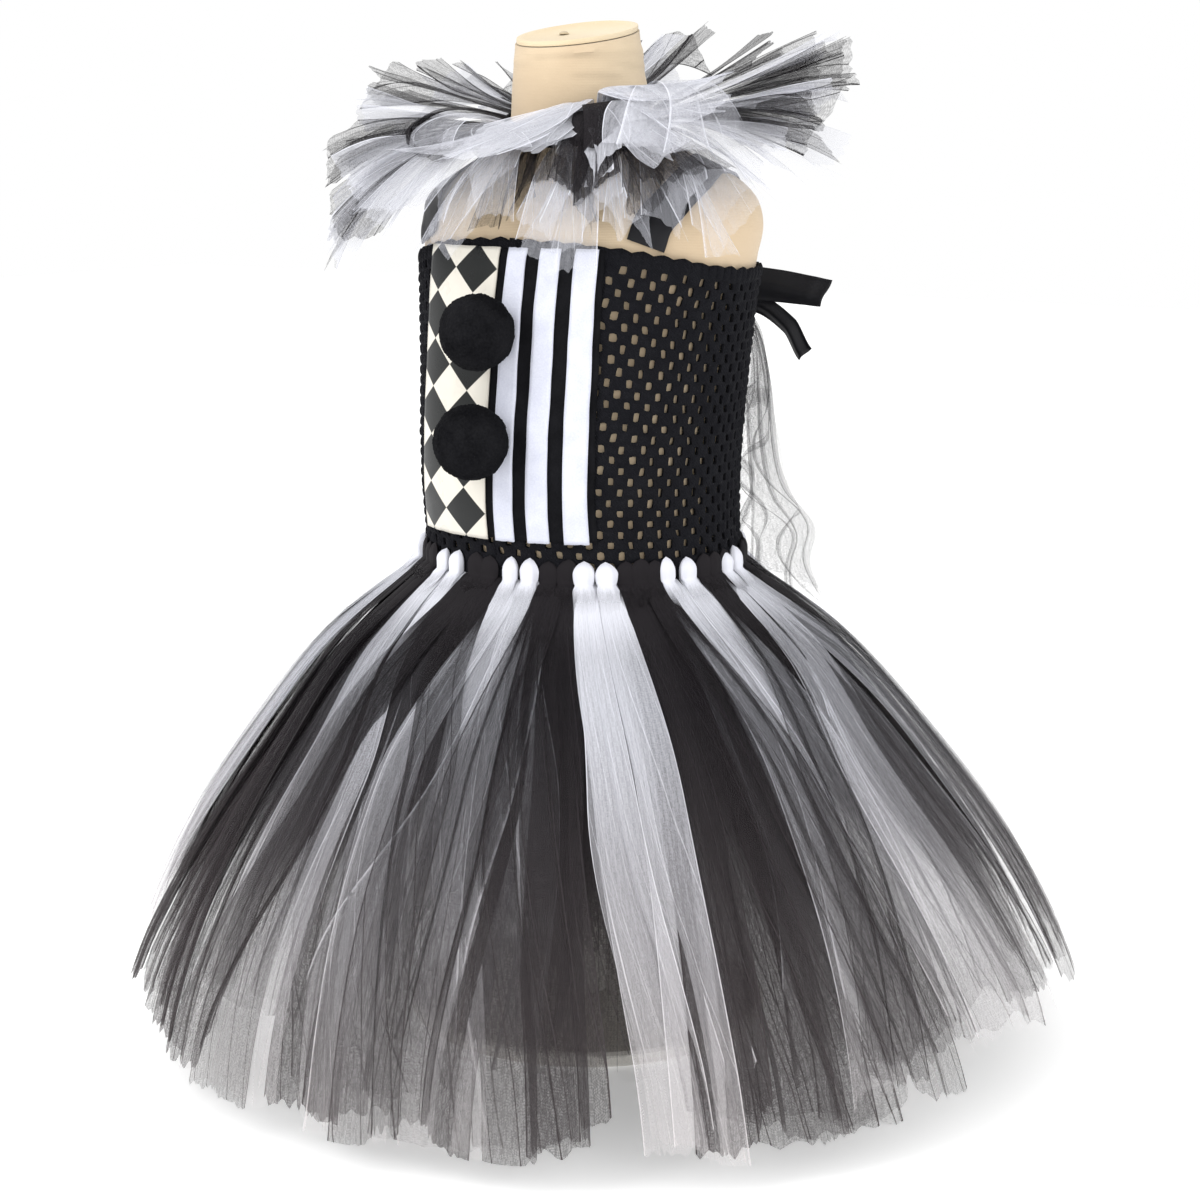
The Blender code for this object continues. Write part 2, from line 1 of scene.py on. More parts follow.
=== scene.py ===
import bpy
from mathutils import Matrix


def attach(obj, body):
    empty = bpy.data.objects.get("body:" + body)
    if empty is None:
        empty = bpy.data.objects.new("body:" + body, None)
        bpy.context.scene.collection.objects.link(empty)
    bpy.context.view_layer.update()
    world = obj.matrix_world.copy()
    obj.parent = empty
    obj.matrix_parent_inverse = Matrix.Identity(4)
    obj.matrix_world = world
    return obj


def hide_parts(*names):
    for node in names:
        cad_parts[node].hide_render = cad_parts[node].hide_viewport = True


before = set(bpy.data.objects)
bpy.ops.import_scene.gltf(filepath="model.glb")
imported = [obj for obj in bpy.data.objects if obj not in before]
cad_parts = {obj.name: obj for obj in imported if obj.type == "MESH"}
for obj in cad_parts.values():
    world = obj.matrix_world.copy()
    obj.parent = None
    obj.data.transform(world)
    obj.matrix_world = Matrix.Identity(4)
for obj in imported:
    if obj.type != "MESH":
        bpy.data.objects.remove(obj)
"""Looks of a child's tutu clown dress on a limbless dress form.

Metres, +Z up, the front faces -Y and the wearer's left is +X.  Each class below builds one
sub-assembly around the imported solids, in their own frame, and dresses it.
"""
import logging
import math
import random
from dataclasses import dataclass, field
from enum import Enum
from typing import Callable, NamedTuple, Sequence

import bmesh
import bpy
from mathutils import Vector, noise

LOG = logging.getLogger("tutu_dress")
BODY = "root"
MM = 0.001
# Points on the axis that the cloth's faces turn away from.
HIPS, CHEST, NECK = (Vector((0, 0, height)) for height in (0.15, 0.4, 0.59))
# What the tulle's meshes carry: thicknesses over each other, phase and size of the folds, cut edge.
MARKS = ("gather", "turn", "fold", "edge")
Place = Callable[[float, float], Vector]
Path = Callable[[float, float, float], Vector]
Color = tuple[float, float, float]
Mesh = bmesh.types.BMesh
Object = bpy.types.Object


# ------------------------------------------------------------------ tables and small maths

def mix(low: float, high: float, share: float) -> float:
    """Linear blend of two numbers."""
    return low + (high - low) * share


def smooth(share: float) -> float:
    """Eased 0 to 1."""
    share = min(max(share, 0.0), 1.0)
    return share * share * (3 - 2 * share)


def table_of(kind: type, table: Sequence[tuple]) -> tuple:
    """A table's rows, each as a named tuple of one kind."""
    return tuple(kind(*row) for row in table)


def read_column(table: Sequence, key: str, value: float, column: str) -> float:
    """Reads a table smoothly between its rows.

    Args:
        table: Named rows whose key column rises.
        key: The column that is looked up.
        value: Where to read.
        column: The column that is returned.

    Returns:
        The Catmull-Rom blend of the column at that value.
    """
    keys = [getattr(row, key) for row in table]
    value = min(max(value, keys[0]), keys[-1])
    step = max(index for index in range(len(keys) - 1) if keys[index] <= value)
    share = (value - keys[step]) / (keys[step + 1] - keys[step])
    picks = (max(step - 1, 0), step, step + 1, min(step + 2, len(keys) - 1))
    before, low, high, after = (getattr(table[pick], column) for pick in picks)
    return 0.5 * (2 * low + (high - before) * share
                  + (2 * before - 5 * low + 4 * high - after) * share ** 2
                  + (3 * low - before - 3 * high + after) * share ** 3)


def read_round(table: Sequence, azimuth: float, column: str) -> float:
    """Reads a table that goes once round in azimuth.

    Args:
        table: Rows with an azimuth column, in degrees.
        azimuth: Where to read, in degrees.
        column: The column that is returned.

    Returns:
        The smooth value of the column.
    """
    start = table[0].azimuth
    azimuth = start + (azimuth - start) % 360
    closing = table[0]._replace(azimuth=table[0].azimuth + 360)
    return read_column(tuple(table) + (closing,), "azimuth", azimuth, column)


def direction(azimuth: float) -> Vector:
    """Level unit vector at an azimuth in degrees, 0 at the front."""
    turn = math.radians(azimuth)
    return Vector((math.sin(turn), -math.cos(turn), 0.0))


# ------------------------------------------------------------------ shader expressions

def operator(operation: str, first: bool = True) -> Callable:
    """A method that adds a Math node; first says whether the value is its first operand."""
    def method(value: "Value", other: "Value | float") -> "Value":
        return value.math(operation, other, first=first)
    return method


class Value:
    """A socket of numbers that Python's operators can work on."""

    def __init__(self, shader: "Shader", socket: bpy.types.NodeSocket) -> None:
        """Keeps the shader that makes further nodes and the wrapped socket."""
        self.shader = shader
        self.socket = socket

    def math(self, operation: str, *others: "Value | float", first: bool = True) -> "Value":
        """Adds a Math node.

        Args:
            operation: The Math node's operation.
            others: The other operands.
            first: Whether this value is the first operand.

        Returns:
            The node's result.
        """
        operands = [self, *others] if first else [*others, self]
        inputs = dict(enumerate(operands))
        return self.shader.node("ShaderNodeMath", {"operation": operation}, inputs)

    __add__ = __radd__ = operator("ADD")
    __sub__ = operator("SUBTRACT")
    __rsub__ = operator("SUBTRACT", first=False)
    __mul__ = __rmul__ = operator("MULTIPLY")
    __truediv__ = operator("DIVIDE")
    __rpow__ = operator("POWER", first=False)

    def clamped(self) -> "Value":
        """The value kept between 0 and 1."""
        return self.math("MINIMUM", 1.0).math("MAXIMUM", 0.0)


class Shader:
    """A material's node tree with one Principled shader."""

    def __init__(self, name: str, roughness: float, specular: float) -> None:
        """Makes the material, with a roughness and specular level that are the same all over."""
        self.material = bpy.data.materials.new(name)
        self.material.use_nodes = True
        self.tree = self.material.node_tree
        self.principled = self.tree.nodes["Principled BSDF"]
        self.principled.inputs["Roughness"].default_value = roughness
        self.principled.inputs["Specular IOR Level"].default_value = specular

    def node(self, kind: str, settings: dict, inputs: dict, out: "int | str" = 0) -> Value:
        """Adds one node.

        Args:
            kind: The node's type.
            settings: Properties that are set before its sockets are filled.
            inputs: Socket index or name to a value, a number or a tuple.
            out: The output that is wanted.

        Returns:
            The wanted output.
        """
        made = self.tree.nodes.new(kind)
        for key, setting in settings.items():
            setattr(made, key, setting)
        for key, given in inputs.items():
            if isinstance(given, Value):
                self.tree.links.new(given.socket, made.inputs[key])
            else:
                made.inputs[key].default_value = given
        return Value(self, made.outputs[out])

    def feed(self, key: str, value: Value) -> None:
        """Links a value to an input of the Principled shader."""
        self.tree.links.new(value.socket, self.principled.inputs[key])

    def coordinates(self, scale: Sequence[float] = (1, 1, 1), from_map: bool = False) -> Value:
        """Place on the piece.

        Args:
            scale: Repeats per metre along each axis.
            from_map: Whether the piece's own UV map is read, which is in metres, and not its place.

        Returns:
            The scaled vector.
        """
        source = self.node("ShaderNodeTexCoord", {}, {}, "UV" if from_map else "Object")
        return self.node("ShaderNodeMapping", {}, {"Vector": source, "Scale": tuple(scale)})

    def noise(self, vector: Value, scale: float, detail: float = 3.0, rough: float = 0.5) -> Value:
        """Noise between about 0.2 and 0.8 at a vector."""
        return self.node("ShaderNodeTexNoise", {},
                         {"Vector": vector, "Scale": scale, "Detail": detail, "Roughness": rough})

    def wave(self, vector: Value, axis: str, scale: float, distortion: float = 0.0) -> Value:
        """Sine bands across one axis; one band takes 1 / (3.18 scale) of a unit."""
        return self.node("ShaderNodeTexWave", {"bands_direction": axis},
                         {"Vector": vector, "Scale": scale, "Distortion": distortion})

    def part(self, vector: Value, axis: int) -> Value:
        """One number of a vector."""
        return self.node("ShaderNodeSeparateXYZ", {}, {0: vector}, axis)

    def attribute(self, name: str) -> Value:
        """A number that the mesh carries at its points."""
        return self.node("ShaderNodeAttribute", {"attribute_name": name}, {}, "Fac")

    def blend(self, share: Value, *colors: "Value | Sequence[float]") -> Value:
        """A colour between two others, each a value or three numbers."""
        low, high = (color if isinstance(color, Value) else (*color, 1.0) for color in colors)
        return self.node("ShaderNodeMix", {"data_type": "RGBA"}, {0: share, 6: low, 7: high}, 2)

    def bump(self, height: Value, strength: float, distance: float) -> None:
        """Feeds the normal from a height."""
        self.feed("Normal", self.node("ShaderNodeBump", {},
                                      {"Strength": strength, "Distance": distance, "Height": height}))


@dataclass(frozen=True)
class Finish:
    """A surface of two colours; each kind adds its own nodes in paint()."""

    name: str
    color: Color
    shade: Color
    roughness: float = 0.5
    specular: float = 0.5

    def material(self) -> bpy.types.Material:
        """Returns the finish's material, which is made once."""
        made = bpy.data.materials.get(self.name)
        if made is None:
            shader = Shader(self.name, self.roughness, self.specular)
            self.paint(shader)
            made = shader.material
        return made

    def paint(self, shader: Shader) -> None:
        """Adds the nodes of this finish."""
        raise NotImplementedError


@dataclass(frozen=True)
class Tulle(Finish):
    """Sheer net, denser where it is gathered; its shade is the colour near the hem, a painted shade on the
    white net and painted light on the black net.
    """

    roughness: float = 0.75
    specular: float = 0.10
    coverage: float = 0.1
    streak: float = 0.17
    line: float = 0.17
    crisp: float = 8.0
    stray: float = 0.35
    stray_width: float = 0.07
    grain: float = 0.65
    mesh: float = 2600.0
    edge_from: float = 0.62
    painted_light_height: float = 0.25

    def paint(self, shader: Shader) -> None:
        """Adds the net.

        Its alpha follows how many thicknesses lie over each other.  The mesh gives the gather
        of the strip, the phase of its folds and its cut edges, which draw the thin lines.
        """
        cloth = shader.coordinates(from_map=True)
        u, v = shader.part(cloth, 0), shader.part(cloth, 1)
        gather, turn, fold, edge = (shader.attribute(mark) for mark in MARKS)
        net = ((u * self.mesh + (v * 900.0).math("SINE") * 3.0).math("SINE")
               * (v * self.mesh * 0.8 + (u * 700.0).math("SINE") * 3.0).math("SINE"))
        streaks = (u * 530.0 + v * 7.0).math("SINE") * (u * 1430.0 - v * 9.0 + 1.0).math("SINE")
        steep = (turn.math("COSINE") * fold + 1.0).math("ABSOLUTE")
        lines = (1.0 - steep / self.line).clamped() + ((edge - self.edge_from) * 2.0).clamped()
        stray = (turn * 1.7 + v * 17.0 + u * 24.0).math("SINE").math("ABSOLUTE")
        lines = lines + (1.0 - stray / self.stray_width).clamped() * self.stray
        layers = (gather * (lines * self.crisp + 1.0)
                  * (streaks * self.streak + 1.0) * (net * self.grain + 1.0))
        shader.feed("Alpha", (1.0 - (1.0 - self.coverage) ** layers).clamped())
        # Painted light and shade: the colour turns into the shade over the lowest quarter metre, darker and
        # warmer on the white net, lighter and warmer on the black net.
        height = (shader.part(shader.coordinates(), 2) * (1 / self.painted_light_height)).clamped()
        shader.feed("Base Color", shader.blend(height, self.shade, self.color))


@dataclass(frozen=True)
class Crochet(Finish):
    """Matte elastic yarn with a twisted ply."""

    roughness: float = 0.92
    specular: float = 0.08

    def paint(self, shader: Shader) -> None:
        """Adds fibres in colour, the lighter ones a painted sheen, and the ply as bump."""
        place = shader.coordinates()
        ply = shader.wave(place, "DIAGONAL", 260.0, 3.0)
        fibre, patch = shader.noise(place, 1500.0), shader.noise(place, 90.0, 2.0)
        # Painted sheen: lighter fibres at random places, in the second colour.
        matted = ((fibre - 0.35) * 1.8 * patch).clamped()
        shader.feed("Base Color", shader.blend(matted, self.color, self.shade))
        shader.bump(ply * 0.6 + fibre * 0.7, 0.8, 0.0006)


@dataclass(frozen=True)
class Felt(Finish):
    """Pressed felt or fleece with fine fibres."""

    roughness: float = 0.95
    specular: float = 0.06
    scale: float = 900.0
    depth: float = 0.0004

    def paint(self, shader: Shader) -> None:
        """Adds matted fibres in colour and bump."""
        place = shader.coordinates()
        fibre, patch = shader.noise(place, self.scale, 4.0, 0.65), shader.noise(place, self.scale / 12, 2.0)
        matted = ((fibre + patch - 0.7) * 1.6).clamped()
        shader.feed("Base Color", shader.blend(matted, self.shade, self.color))
        shader.bump(fibre * 0.7 + patch * 0.5, 0.7, self.depth)


@dataclass(frozen=True)
class Harlequin(Finish):
    """Glossy leatherette with dark diamonds, a pitch in metres of its UV map apart."""

    roughness: float = 0.28
    specular: float = 0.30
    pitch: tuple[float, float] = (0.034, 0.02995)
    fill: float = 1.0
    worn_share: float = 0.90

    def paint(self, shader: Shader) -> None:
        """Draws a diamond of the shade round each multiple of the pitch."""
        place = shader.coordinates((1 / self.pitch[0], 1 / self.pitch[1], 1), from_map=True)
        across, along = ((shader.part(place, axis).math("FRACT") - 0.5).math("ABSOLUTE") for axis in (0, 1))
        edge = ((0.5 * self.fill - (across + along)) * 60.0 + 0.5).clamped()
        grain, worn = (shader.noise(shader.coordinates(), scale) for scale in (1400.0, 60.0))
        cream = shader.blend(((worn - 0.4) * 2.0).clamped(),
                             [self.worn_share * part for part in self.color], self.color)
        shader.feed("Base Color", shader.blend(edge, cream, self.shade))
        shader.feed("Roughness", (worn - 0.5) * 0.25 + 0.30)
        shader.bump(grain, 0.25, 0.0002)


@dataclass(frozen=True)
class Satin(Finish):
    """Ribbon with a fine crosswise rib."""

    roughness: float = 0.42
    specular: float = 0.22

    def paint(self, shader: Shader) -> None:
        """Adds the rib as bump and a soft sheen."""
        rib = shader.wave(shader.coordinates(from_map=True), "Y", 420.0)
        soft = shader.noise(shader.coordinates((60, 6, 1), from_map=True), 1.0, 2.0)
        shader.feed("Base Color", shader.blend(((soft - 0.3) * 1.5).clamped(), self.color, self.shade))
        shader.feed("Roughness", (soft - 0.5) * 0.3 + self.roughness)
        shader.bump(rib, 0.35, 0.0002)


@dataclass(frozen=True)
class Jersey(Finish):
    """Knitted cover with a fine rib and slight soiling."""

    roughness: float = 0.85
    specular: float = 0.2
    sheen: float = 0.2

    def paint(self, shader: Shader) -> None:
        """Adds knitted rows as bump and soiled places in colour."""
        shader.principled.inputs["Sheen Weight"].default_value = self.sheen
        place = shader.coordinates()
        rows = shader.wave(place, "Z", 330.0, 0.6)
        soil, yarn = shader.noise(place, 14.0, 4.0), shader.noise(place, 1300.0, 2.0)
        shader.feed("Base Color", shader.blend(((soil - 0.38) * 2.2 + (yarn - 0.5) * 0.4).clamped(),
                                               self.shade, self.color))
        shader.bump(rows * 0.5 + yarn * 0.6, 0.35, 0.0003)


@dataclass(frozen=True)
class Paint(Finish):
    """Satin paint with a slight orange peel."""

    roughness: float = 0.45

    def paint(self, shader: Shader) -> None:
        """Adds the peel."""
        peel = shader.noise(shader.coordinates(), 260.0, 2.0)
        shader.feed("Base Color", shader.blend(peel, self.shade, self.color))
        shader.feed("Roughness", peel * 0.2 + (self.roughness - 0.1))
        shader.bump(peel, 0.1, 0.0003)


# The tulles' second colours are painted near the hem: painted shade on the white net, painted light on the
# black net; the veil's two colours are the same.
WHITE_TULLE = Tulle("white_net", (0.78, 0.79, 0.86), (0.74, 0.69, 0.69),
                    coverage=0.095, stray=0.20, grain=0.30)
BLACK_TULLE = Tulle("black_net", (0.016, 0.014, 0.016), (0.068, 0.058, 0.060),
                    coverage=0.168, crisp=13.0, stray=0.65)
VEIL_TULLE = Tulle("veil_net", (0.050, 0.048, 0.052), (0.050, 0.048, 0.052), coverage=0.11, crisp=4.0)
YARN = Crochet("black_yarn", (0.006, 0.006, 0.008), (0.030, 0.031, 0.036))
BLACK_FELT = Felt("pressed_black", (0.012, 0.012, 0.014), (0.005, 0.005, 0.006))
WHITE_FELT = Felt("pressed_white", (0.78, 0.80, 0.90), (0.64, 0.66, 0.77))
FLEECE = Felt("fleece_pile", (0.014, 0.014, 0.016), (0.003, 0.003, 0.004), scale=650.0, depth=0.0012)
LEATHERETTE = Harlequin("harlequin_leatherette", (0.84, 0.80, 0.71), (0.004, 0.005, 0.005))
RIBBON = Satin("ribbon_satin", (0.006, 0.006, 0.008), (0.022, 0.022, 0.026))
COVER = Jersey("cream_cover", (0.78, 0.64, 0.45), (0.64, 0.50, 0.34))
NECK_PLATE = Jersey("cream_plate", (0.84, 0.72, 0.52), (0.74, 0.60, 0.40))
STAND_PAINT = Paint("cream_paint", (0.90, 0.87, 0.81), (0.85, 0.82, 0.76))
BRASS = Paint("fastener_brass", (0.62, 0.52, 0.36), (0.50, 0.41, 0.28), 0.35)
FLOOR_PAINT = Paint("pale_floor", (0.97, 0.97, 0.97), (0.96, 0.96, 0.96), 0.9)


# ------------------------------------------------------------------ making pieces

def add_piece(name: str, bm: Mesh, finish: Finish, ride: bool = True) -> Object:
    """Writes a bmesh to a new object at the origin.

    Args:
        name: The piece's name.
        bm: Its mesh, in world metres; it is freed.
        finish: The finish that makes its material.
        ride: Whether it belongs to the object and rides on its body.

    Returns:
        The object.
    """
    mesh = bpy.data.meshes.new(name)
    bm.to_mesh(mesh)
    bm.free()
    mesh.materials.append(finish.material())
    mesh.shade_smooth()
    obj = bpy.data.objects.new(name, mesh)
    bpy.context.scene.collection.objects.link(obj)
    if ride:
        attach(obj, BODY)
    LOG.info("%s: %d faces, %.4f m2", name, len(mesh.polygons), sum(face.area for face in mesh.polygons))
    return obj


def add_grid(bm: Mesh, columns: int, rows: int, place: Place, size: tuple[float, float],
             shift: float = 0.0) -> list[bmesh.types.BMVert]:
    """Adds a grid to a bmesh, mapped by a function, with a UV map in metres.

    Args:
        bm: The mesh it is added to.
        columns: Faces across.
        rows: Faces along.
        place: Gives the point at (u, v), each 0 to 1.
        size: Metres that the UV map spans across and along.
        shift: Metres that the UV map is moved across, so that strips differ.

    Returns:
        The new vertices.
    """
    layer = bm.loops.layers.uv.verify()
    made = bmesh.ops.create_grid(bm, x_segments=columns, y_segments=rows, size=0.5)["verts"]
    faces = {face for vert in made for face in vert.link_faces}
    for face in faces:
        for loop in face.loops:
            u, v = loop.vert.co.x + 0.5, loop.vert.co.y + 0.5
            loop[layer].uv = (u * size[0] + shift, v * size[1])
    for vert in made:
        vert.co = place(vert.co.x + 0.5, vert.co.y + 0.5)
    return made


def make_ball(around: int, along: int, radius: float) -> Mesh:
    """A sphere whose faces are put in the order of their points, so that each run gives the same list."""
    bm = bmesh.new()
    bmesh.ops.create_uvsphere(bm, u_segments=around, v_segments=along, radius=radius)
    bm.verts.index_update()
    ranked = sorted(bm.faces, key=lambda face: [vert.index for vert in face.verts])
    for rank, face in enumerate(ranked):
        face.index = rank
    bm.faces.sort()
    return bm


def add_wall(obj: Object, thickness: float, crease: float = 0.0) -> None:
    """Gives an open sheet its thickness, outwards."""
    solid = obj.modifiers.new("wall", "SOLIDIFY")
    solid.thickness = thickness
    solid.offset = 1.0
    solid.edge_crease_inner = solid.edge_crease_outer = solid.edge_crease_rim = crease


def add_cloth(name: str, finish: Finish, grid: tuple[int, int], place: Place, size: tuple[float, float],
              wall: float, middle: Vector | None = None) -> Object:
    """Adds a sheet of cloth.

    Args:
        name: The piece's name.
        finish: Its finish.
        grid: Faces across and along.
        place: Gives the point at (u, v), each 0 to 1.
        size: Metres that the UV map spans across and along.
        wall: Its thickness.
        middle: The point that its faces turn away from, if they need turning.

    Returns:
        The object.
    """
    bm = bmesh.new()
    add_grid(bm, *grid, place, size)
    if middle is not None:
        turn_outwards(bm, middle)
    obj = add_piece(name, bm, finish)
    add_wall(obj, wall)
    return obj


def dress(node: str) -> None:
    """Hides the solid that a piece stands for."""
    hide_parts(node)


def turn_outwards(bm: Mesh, middle: Vector) -> None:
    """Turns the faces of an open sheet away from a point."""
    bm.normal_update()
    if sum(face.normal.dot(face.calc_center_median() - middle) for face in bm.faces) < 0:
        bmesh.ops.reverse_faces(bm, faces=bm.faces)


# ------------------------------------------------------------------ the dress form

class Section(NamedTuple):
    """One level ring of the form."""

    height: float
    half_width: float
    half_depth: float
    centre_y: float


class Crease(NamedTuple):
    """One soft fold of the form's cover; slope is the rise per metre round the neck."""

    azimuth: float
    height: float
    half_angle: float
    slope: float
    depth: float
    width: float


@dataclass
class FormShape:
    """Outline of the form, which the garment follows."""

    sections: tuple[Section, ...] = table_of(Section, (
        (0.205, 0.0960, 0.0860, 0.002),
        (0.214, 0.1060, 0.0950, 0.001),
        (0.250, 0.1080, 0.0970, -0.001),
        (0.290, 0.1040, 0.0950, -0.004),
        (0.325, 0.1010, 0.0930, -0.006),
        (0.360, 0.1015, 0.0935, -0.009),
        (0.400, 0.1035, 0.0930, -0.008),
        (0.440, 0.1065, 0.0915, -0.005),
        (0.480, 0.1100, 0.0900, -0.002),
        (0.510, 0.1150, 0.0870, 0.001),
        (0.528, 0.1190, 0.0820, 0.003),
        (0.544, 0.1150, 0.0740, 0.005),
        (0.556, 0.1020, 0.0640, 0.007),
        (0.567, 0.0800, 0.0550, 0.005),
        (0.578, 0.0580, 0.0480, 0.000),
        (0.590, 0.0475, 0.0450, -0.005),
        (0.612, 0.0430, 0.0430, -0.009),
        (0.632, 0.0405, 0.0410, -0.011),
        (0.646, 0.0390, 0.0395, -0.012),
    ))
    slant: float = 0.19
    slant_from: float = 0.612
    neck_base: float = 0.598
    armpit: float = 0.510
    level_steps: int = 44
    levels: list[Section] = field(default_factory=list)

    def __post_init__(self) -> None:
        """Samples the shoulders closely from the top down, for quick reading."""
        self.levels = [self.ring(mix(self.neck_base, self.armpit, index / self.level_steps))
                       for index in range(self.level_steps + 1)]

    def ring(self, height: float) -> Section:
        """The form's level ring at a height."""
        return Section(height, *(read_column(self.sections, "height", height, column)
                                 for column in Section._fields[1:]))

    def point(self, azimuth: float, height: float, out: float = 0.0) -> Vector:
        """Point on the form.

        Args:
            azimuth: Degrees, 0 at the front and 90 at +X.
            height: Metres above the floor.
            out: Metres that the ring is widened by.

        Returns:
            The point.
        """
        way, ring = direction(azimuth), self.ring(height)
        return Vector(((ring.half_width + out) * way.x,
                       ring.centre_y + (ring.half_depth + out) * way.y, height))

    def normal(self, azimuth: float, height: float) -> Vector:
        """Outward direction of the form at a point."""
        across = self.point(azimuth + 1, height) - self.point(azimuth - 1, height)
        rise = self.point(azimuth, height + 2 * MM) - self.point(azimuth, height - 2 * MM)
        return across.cross(rise).normalized()

    def azimuth_at(self, x: float, height: float, out: float) -> float:
        """Azimuth on the front half where the widened ring has a given x."""
        half_width = self.ring(height).half_width + out
        return math.degrees(math.asin(max(-1.0, min(1.0, x / half_width))))

    def shoulder(self, x: float, y: float) -> float:
        """Height of the form's upper side over a point, or 0 beyond its shoulders."""
        for level in self.levels:
            if (x / level.half_width) ** 2 + ((y - level.centre_y) / level.half_depth) ** 2 <= 1:
                return level.height
        return 0.0

    def slanted(self, point: Vector) -> Vector:
        """Tips the neck's upper end so that its top face leans forward."""
        share = (point.z - self.slant_from) / (self.sections[-1].height - self.slant_from)
        return point + Vector((0, 0, self.slant * point.y * min(max(share, 0.0), 1.0)))


@dataclass
class DressForm:
    """The covered torso, its neck plate and its stand."""

    shape: FormShape
    around: int = 144
    rows: int = 150
    creases: tuple[Crease, ...] = table_of(Crease, (
        (70, 0.638, 60, -0.10, 0.0011, 0.0030),
        (95, 0.629, 46, -0.16, 0.0010, 0.0028),
        (52, 0.624, 34, -0.06, 0.0008, 0.0026),
        (20, 0.641, 52, 0.02, 0.0009, 0.0026),
        (-30, 0.634, 30, 0.05, 0.0006, 0.0030),
        (150, 0.634, 50, 0.08, 0.0010, 0.0030),
        (214, 0.626, 40, -0.05, 0.0009, 0.0032),
        (262, 0.637, 44, 0.07, 0.0009, 0.0028),
        (100, 0.612, 30, -0.20, 0.0006, 0.0032),
    ))
    plate_thickness: float = 0.0035
    plate_inset: float = 0.0008
    rim: tuple[float, float] = (0.004, 0.002)
    rim_sink: float = 0.0012
    rim_round: float = 0.0008
    stud_radius: float = 0.0032
    stud_sink: float = 0.0012
    stud_out: float = 0.006
    clearance: float = 0.0004

    def crease_depth(self, azimuth: float, height: float) -> float:
        """How far the cover stands proud or sinks at a point."""
        depth = 0.0
        for crease in self.creases:
            turn = (azimuth - crease.azimuth + 180) % 360 - 180
            along = 1 - abs(turn) / crease.half_angle
            if along > 0:
                level = crease.height + crease.slope * math.radians(turn) * self.shape.sections[-1].half_width
                offset = (height - level) / crease.width
                depth += crease.depth * smooth(along * 1.6) * (math.exp(-offset ** 2)
                                                               - 0.6 * math.exp(-(offset + 1.5) ** 2))
        return depth

    def build(self) -> None:
        """Builds torso, neck plate, fastener and stand."""
        self.build_torso()
        self.build_plate()
        for node in ("stand_pole", "stand_base"):
            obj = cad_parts[node]
            obj.data.materials.clear()
            obj.data.materials.append(STAND_PAINT.material())

    def build_torso(self) -> None:
        """One smooth skin through the sections, closed at the hips and under the plate."""
        low, high = self.shape.sections[0].height, self.shape.sections[-1].height

        def place(u: float, v: float) -> Vector:
            azimuth, height = 360 * u, mix(low, high, v)
            out = self.crease_depth(azimuth, height)
            return self.shape.slanted(self.shape.point(azimuth, height, out))
        bm = bmesh.new()
        add_grid(bm, self.around, self.rows, place, (0.66, high - low))
        bmesh.ops.remove_doubles(bm, verts=bm.verts, dist=0.00001)
        rims = [edge for edge in bm.edges if edge.is_boundary]
        bmesh.ops.holes_fill(bm, edges=rims, sides=0)
        bmesh.ops.recalc_face_normals(bm, faces=bm.faces)
        obj = add_piece("form_torso_cover", bm, COVER)
        obj.data.set_sharp_from_angle(angle=math.radians(50))
        dress("form_torso")

    def build_plate(self) -> None:
        """The slanted plate on the neck with its rolled rim."""
        top = self.shape.sections[-1]
        bm = bmesh.new()
        bmesh.ops.create_cone(bm, cap_ends=True, segments=72, radius1=1.0, radius2=1.0, depth=1.0)
        for vert in bm.verts:
            x = vert.co.x * (top.half_width - self.plate_inset)
            y = vert.co.y * (top.half_depth - self.plate_inset)
            lift = self.clearance + (self.plate_thickness if vert.co.z > 0 else 0.0)
            vert.co = Vector((x, y + top.centre_y, top.height + self.shape.slant * (y + top.centre_y) + lift))
        upper = [face for face in bm.faces if face.normal.z > 0.5 and len(face.verts) > 4]
        bmesh.ops.inset_region(bm, faces=upper, thickness=self.rim[0], depth=0.0)
        bmesh.ops.inset_region(bm, faces=upper, thickness=self.rim[1], depth=-self.rim_sink)
        rim = [edge for edge in bm.edges if edge.calc_face_angle(0) > 0.9]
        bmesh.ops.bevel(bm, geom=rim, offset=self.rim_round, segments=2, profile=0.5, affect="EDGES",
                        material=-1)
        obj = add_piece("form_neck_plate", bm, NECK_PLATE)
        obj.data.set_sharp_from_angle(angle=math.radians(35))
        dress("form_neck_cap")
        self.build_stud(top)

    def build_stud(self, top: Section) -> None:
        """The small round fastener that stands out of the plate."""
        bm = make_ball(16, 8, self.stud_radius)
        seat = Vector((-self.stud_out, top.centre_y - self.stud_out, 0))
        seat.z = (top.height + self.shape.slant * seat.y + self.clearance + self.plate_thickness
                  - self.stud_sink)
        for vert in bm.verts:
            vert.co = Vector((vert.co.x, vert.co.y, max(vert.co.z, 0.0) * 0.7)) + seat
        add_piece("neck_fastener", bm, BRASS)


# ------------------------------------------------------------------ the bodice

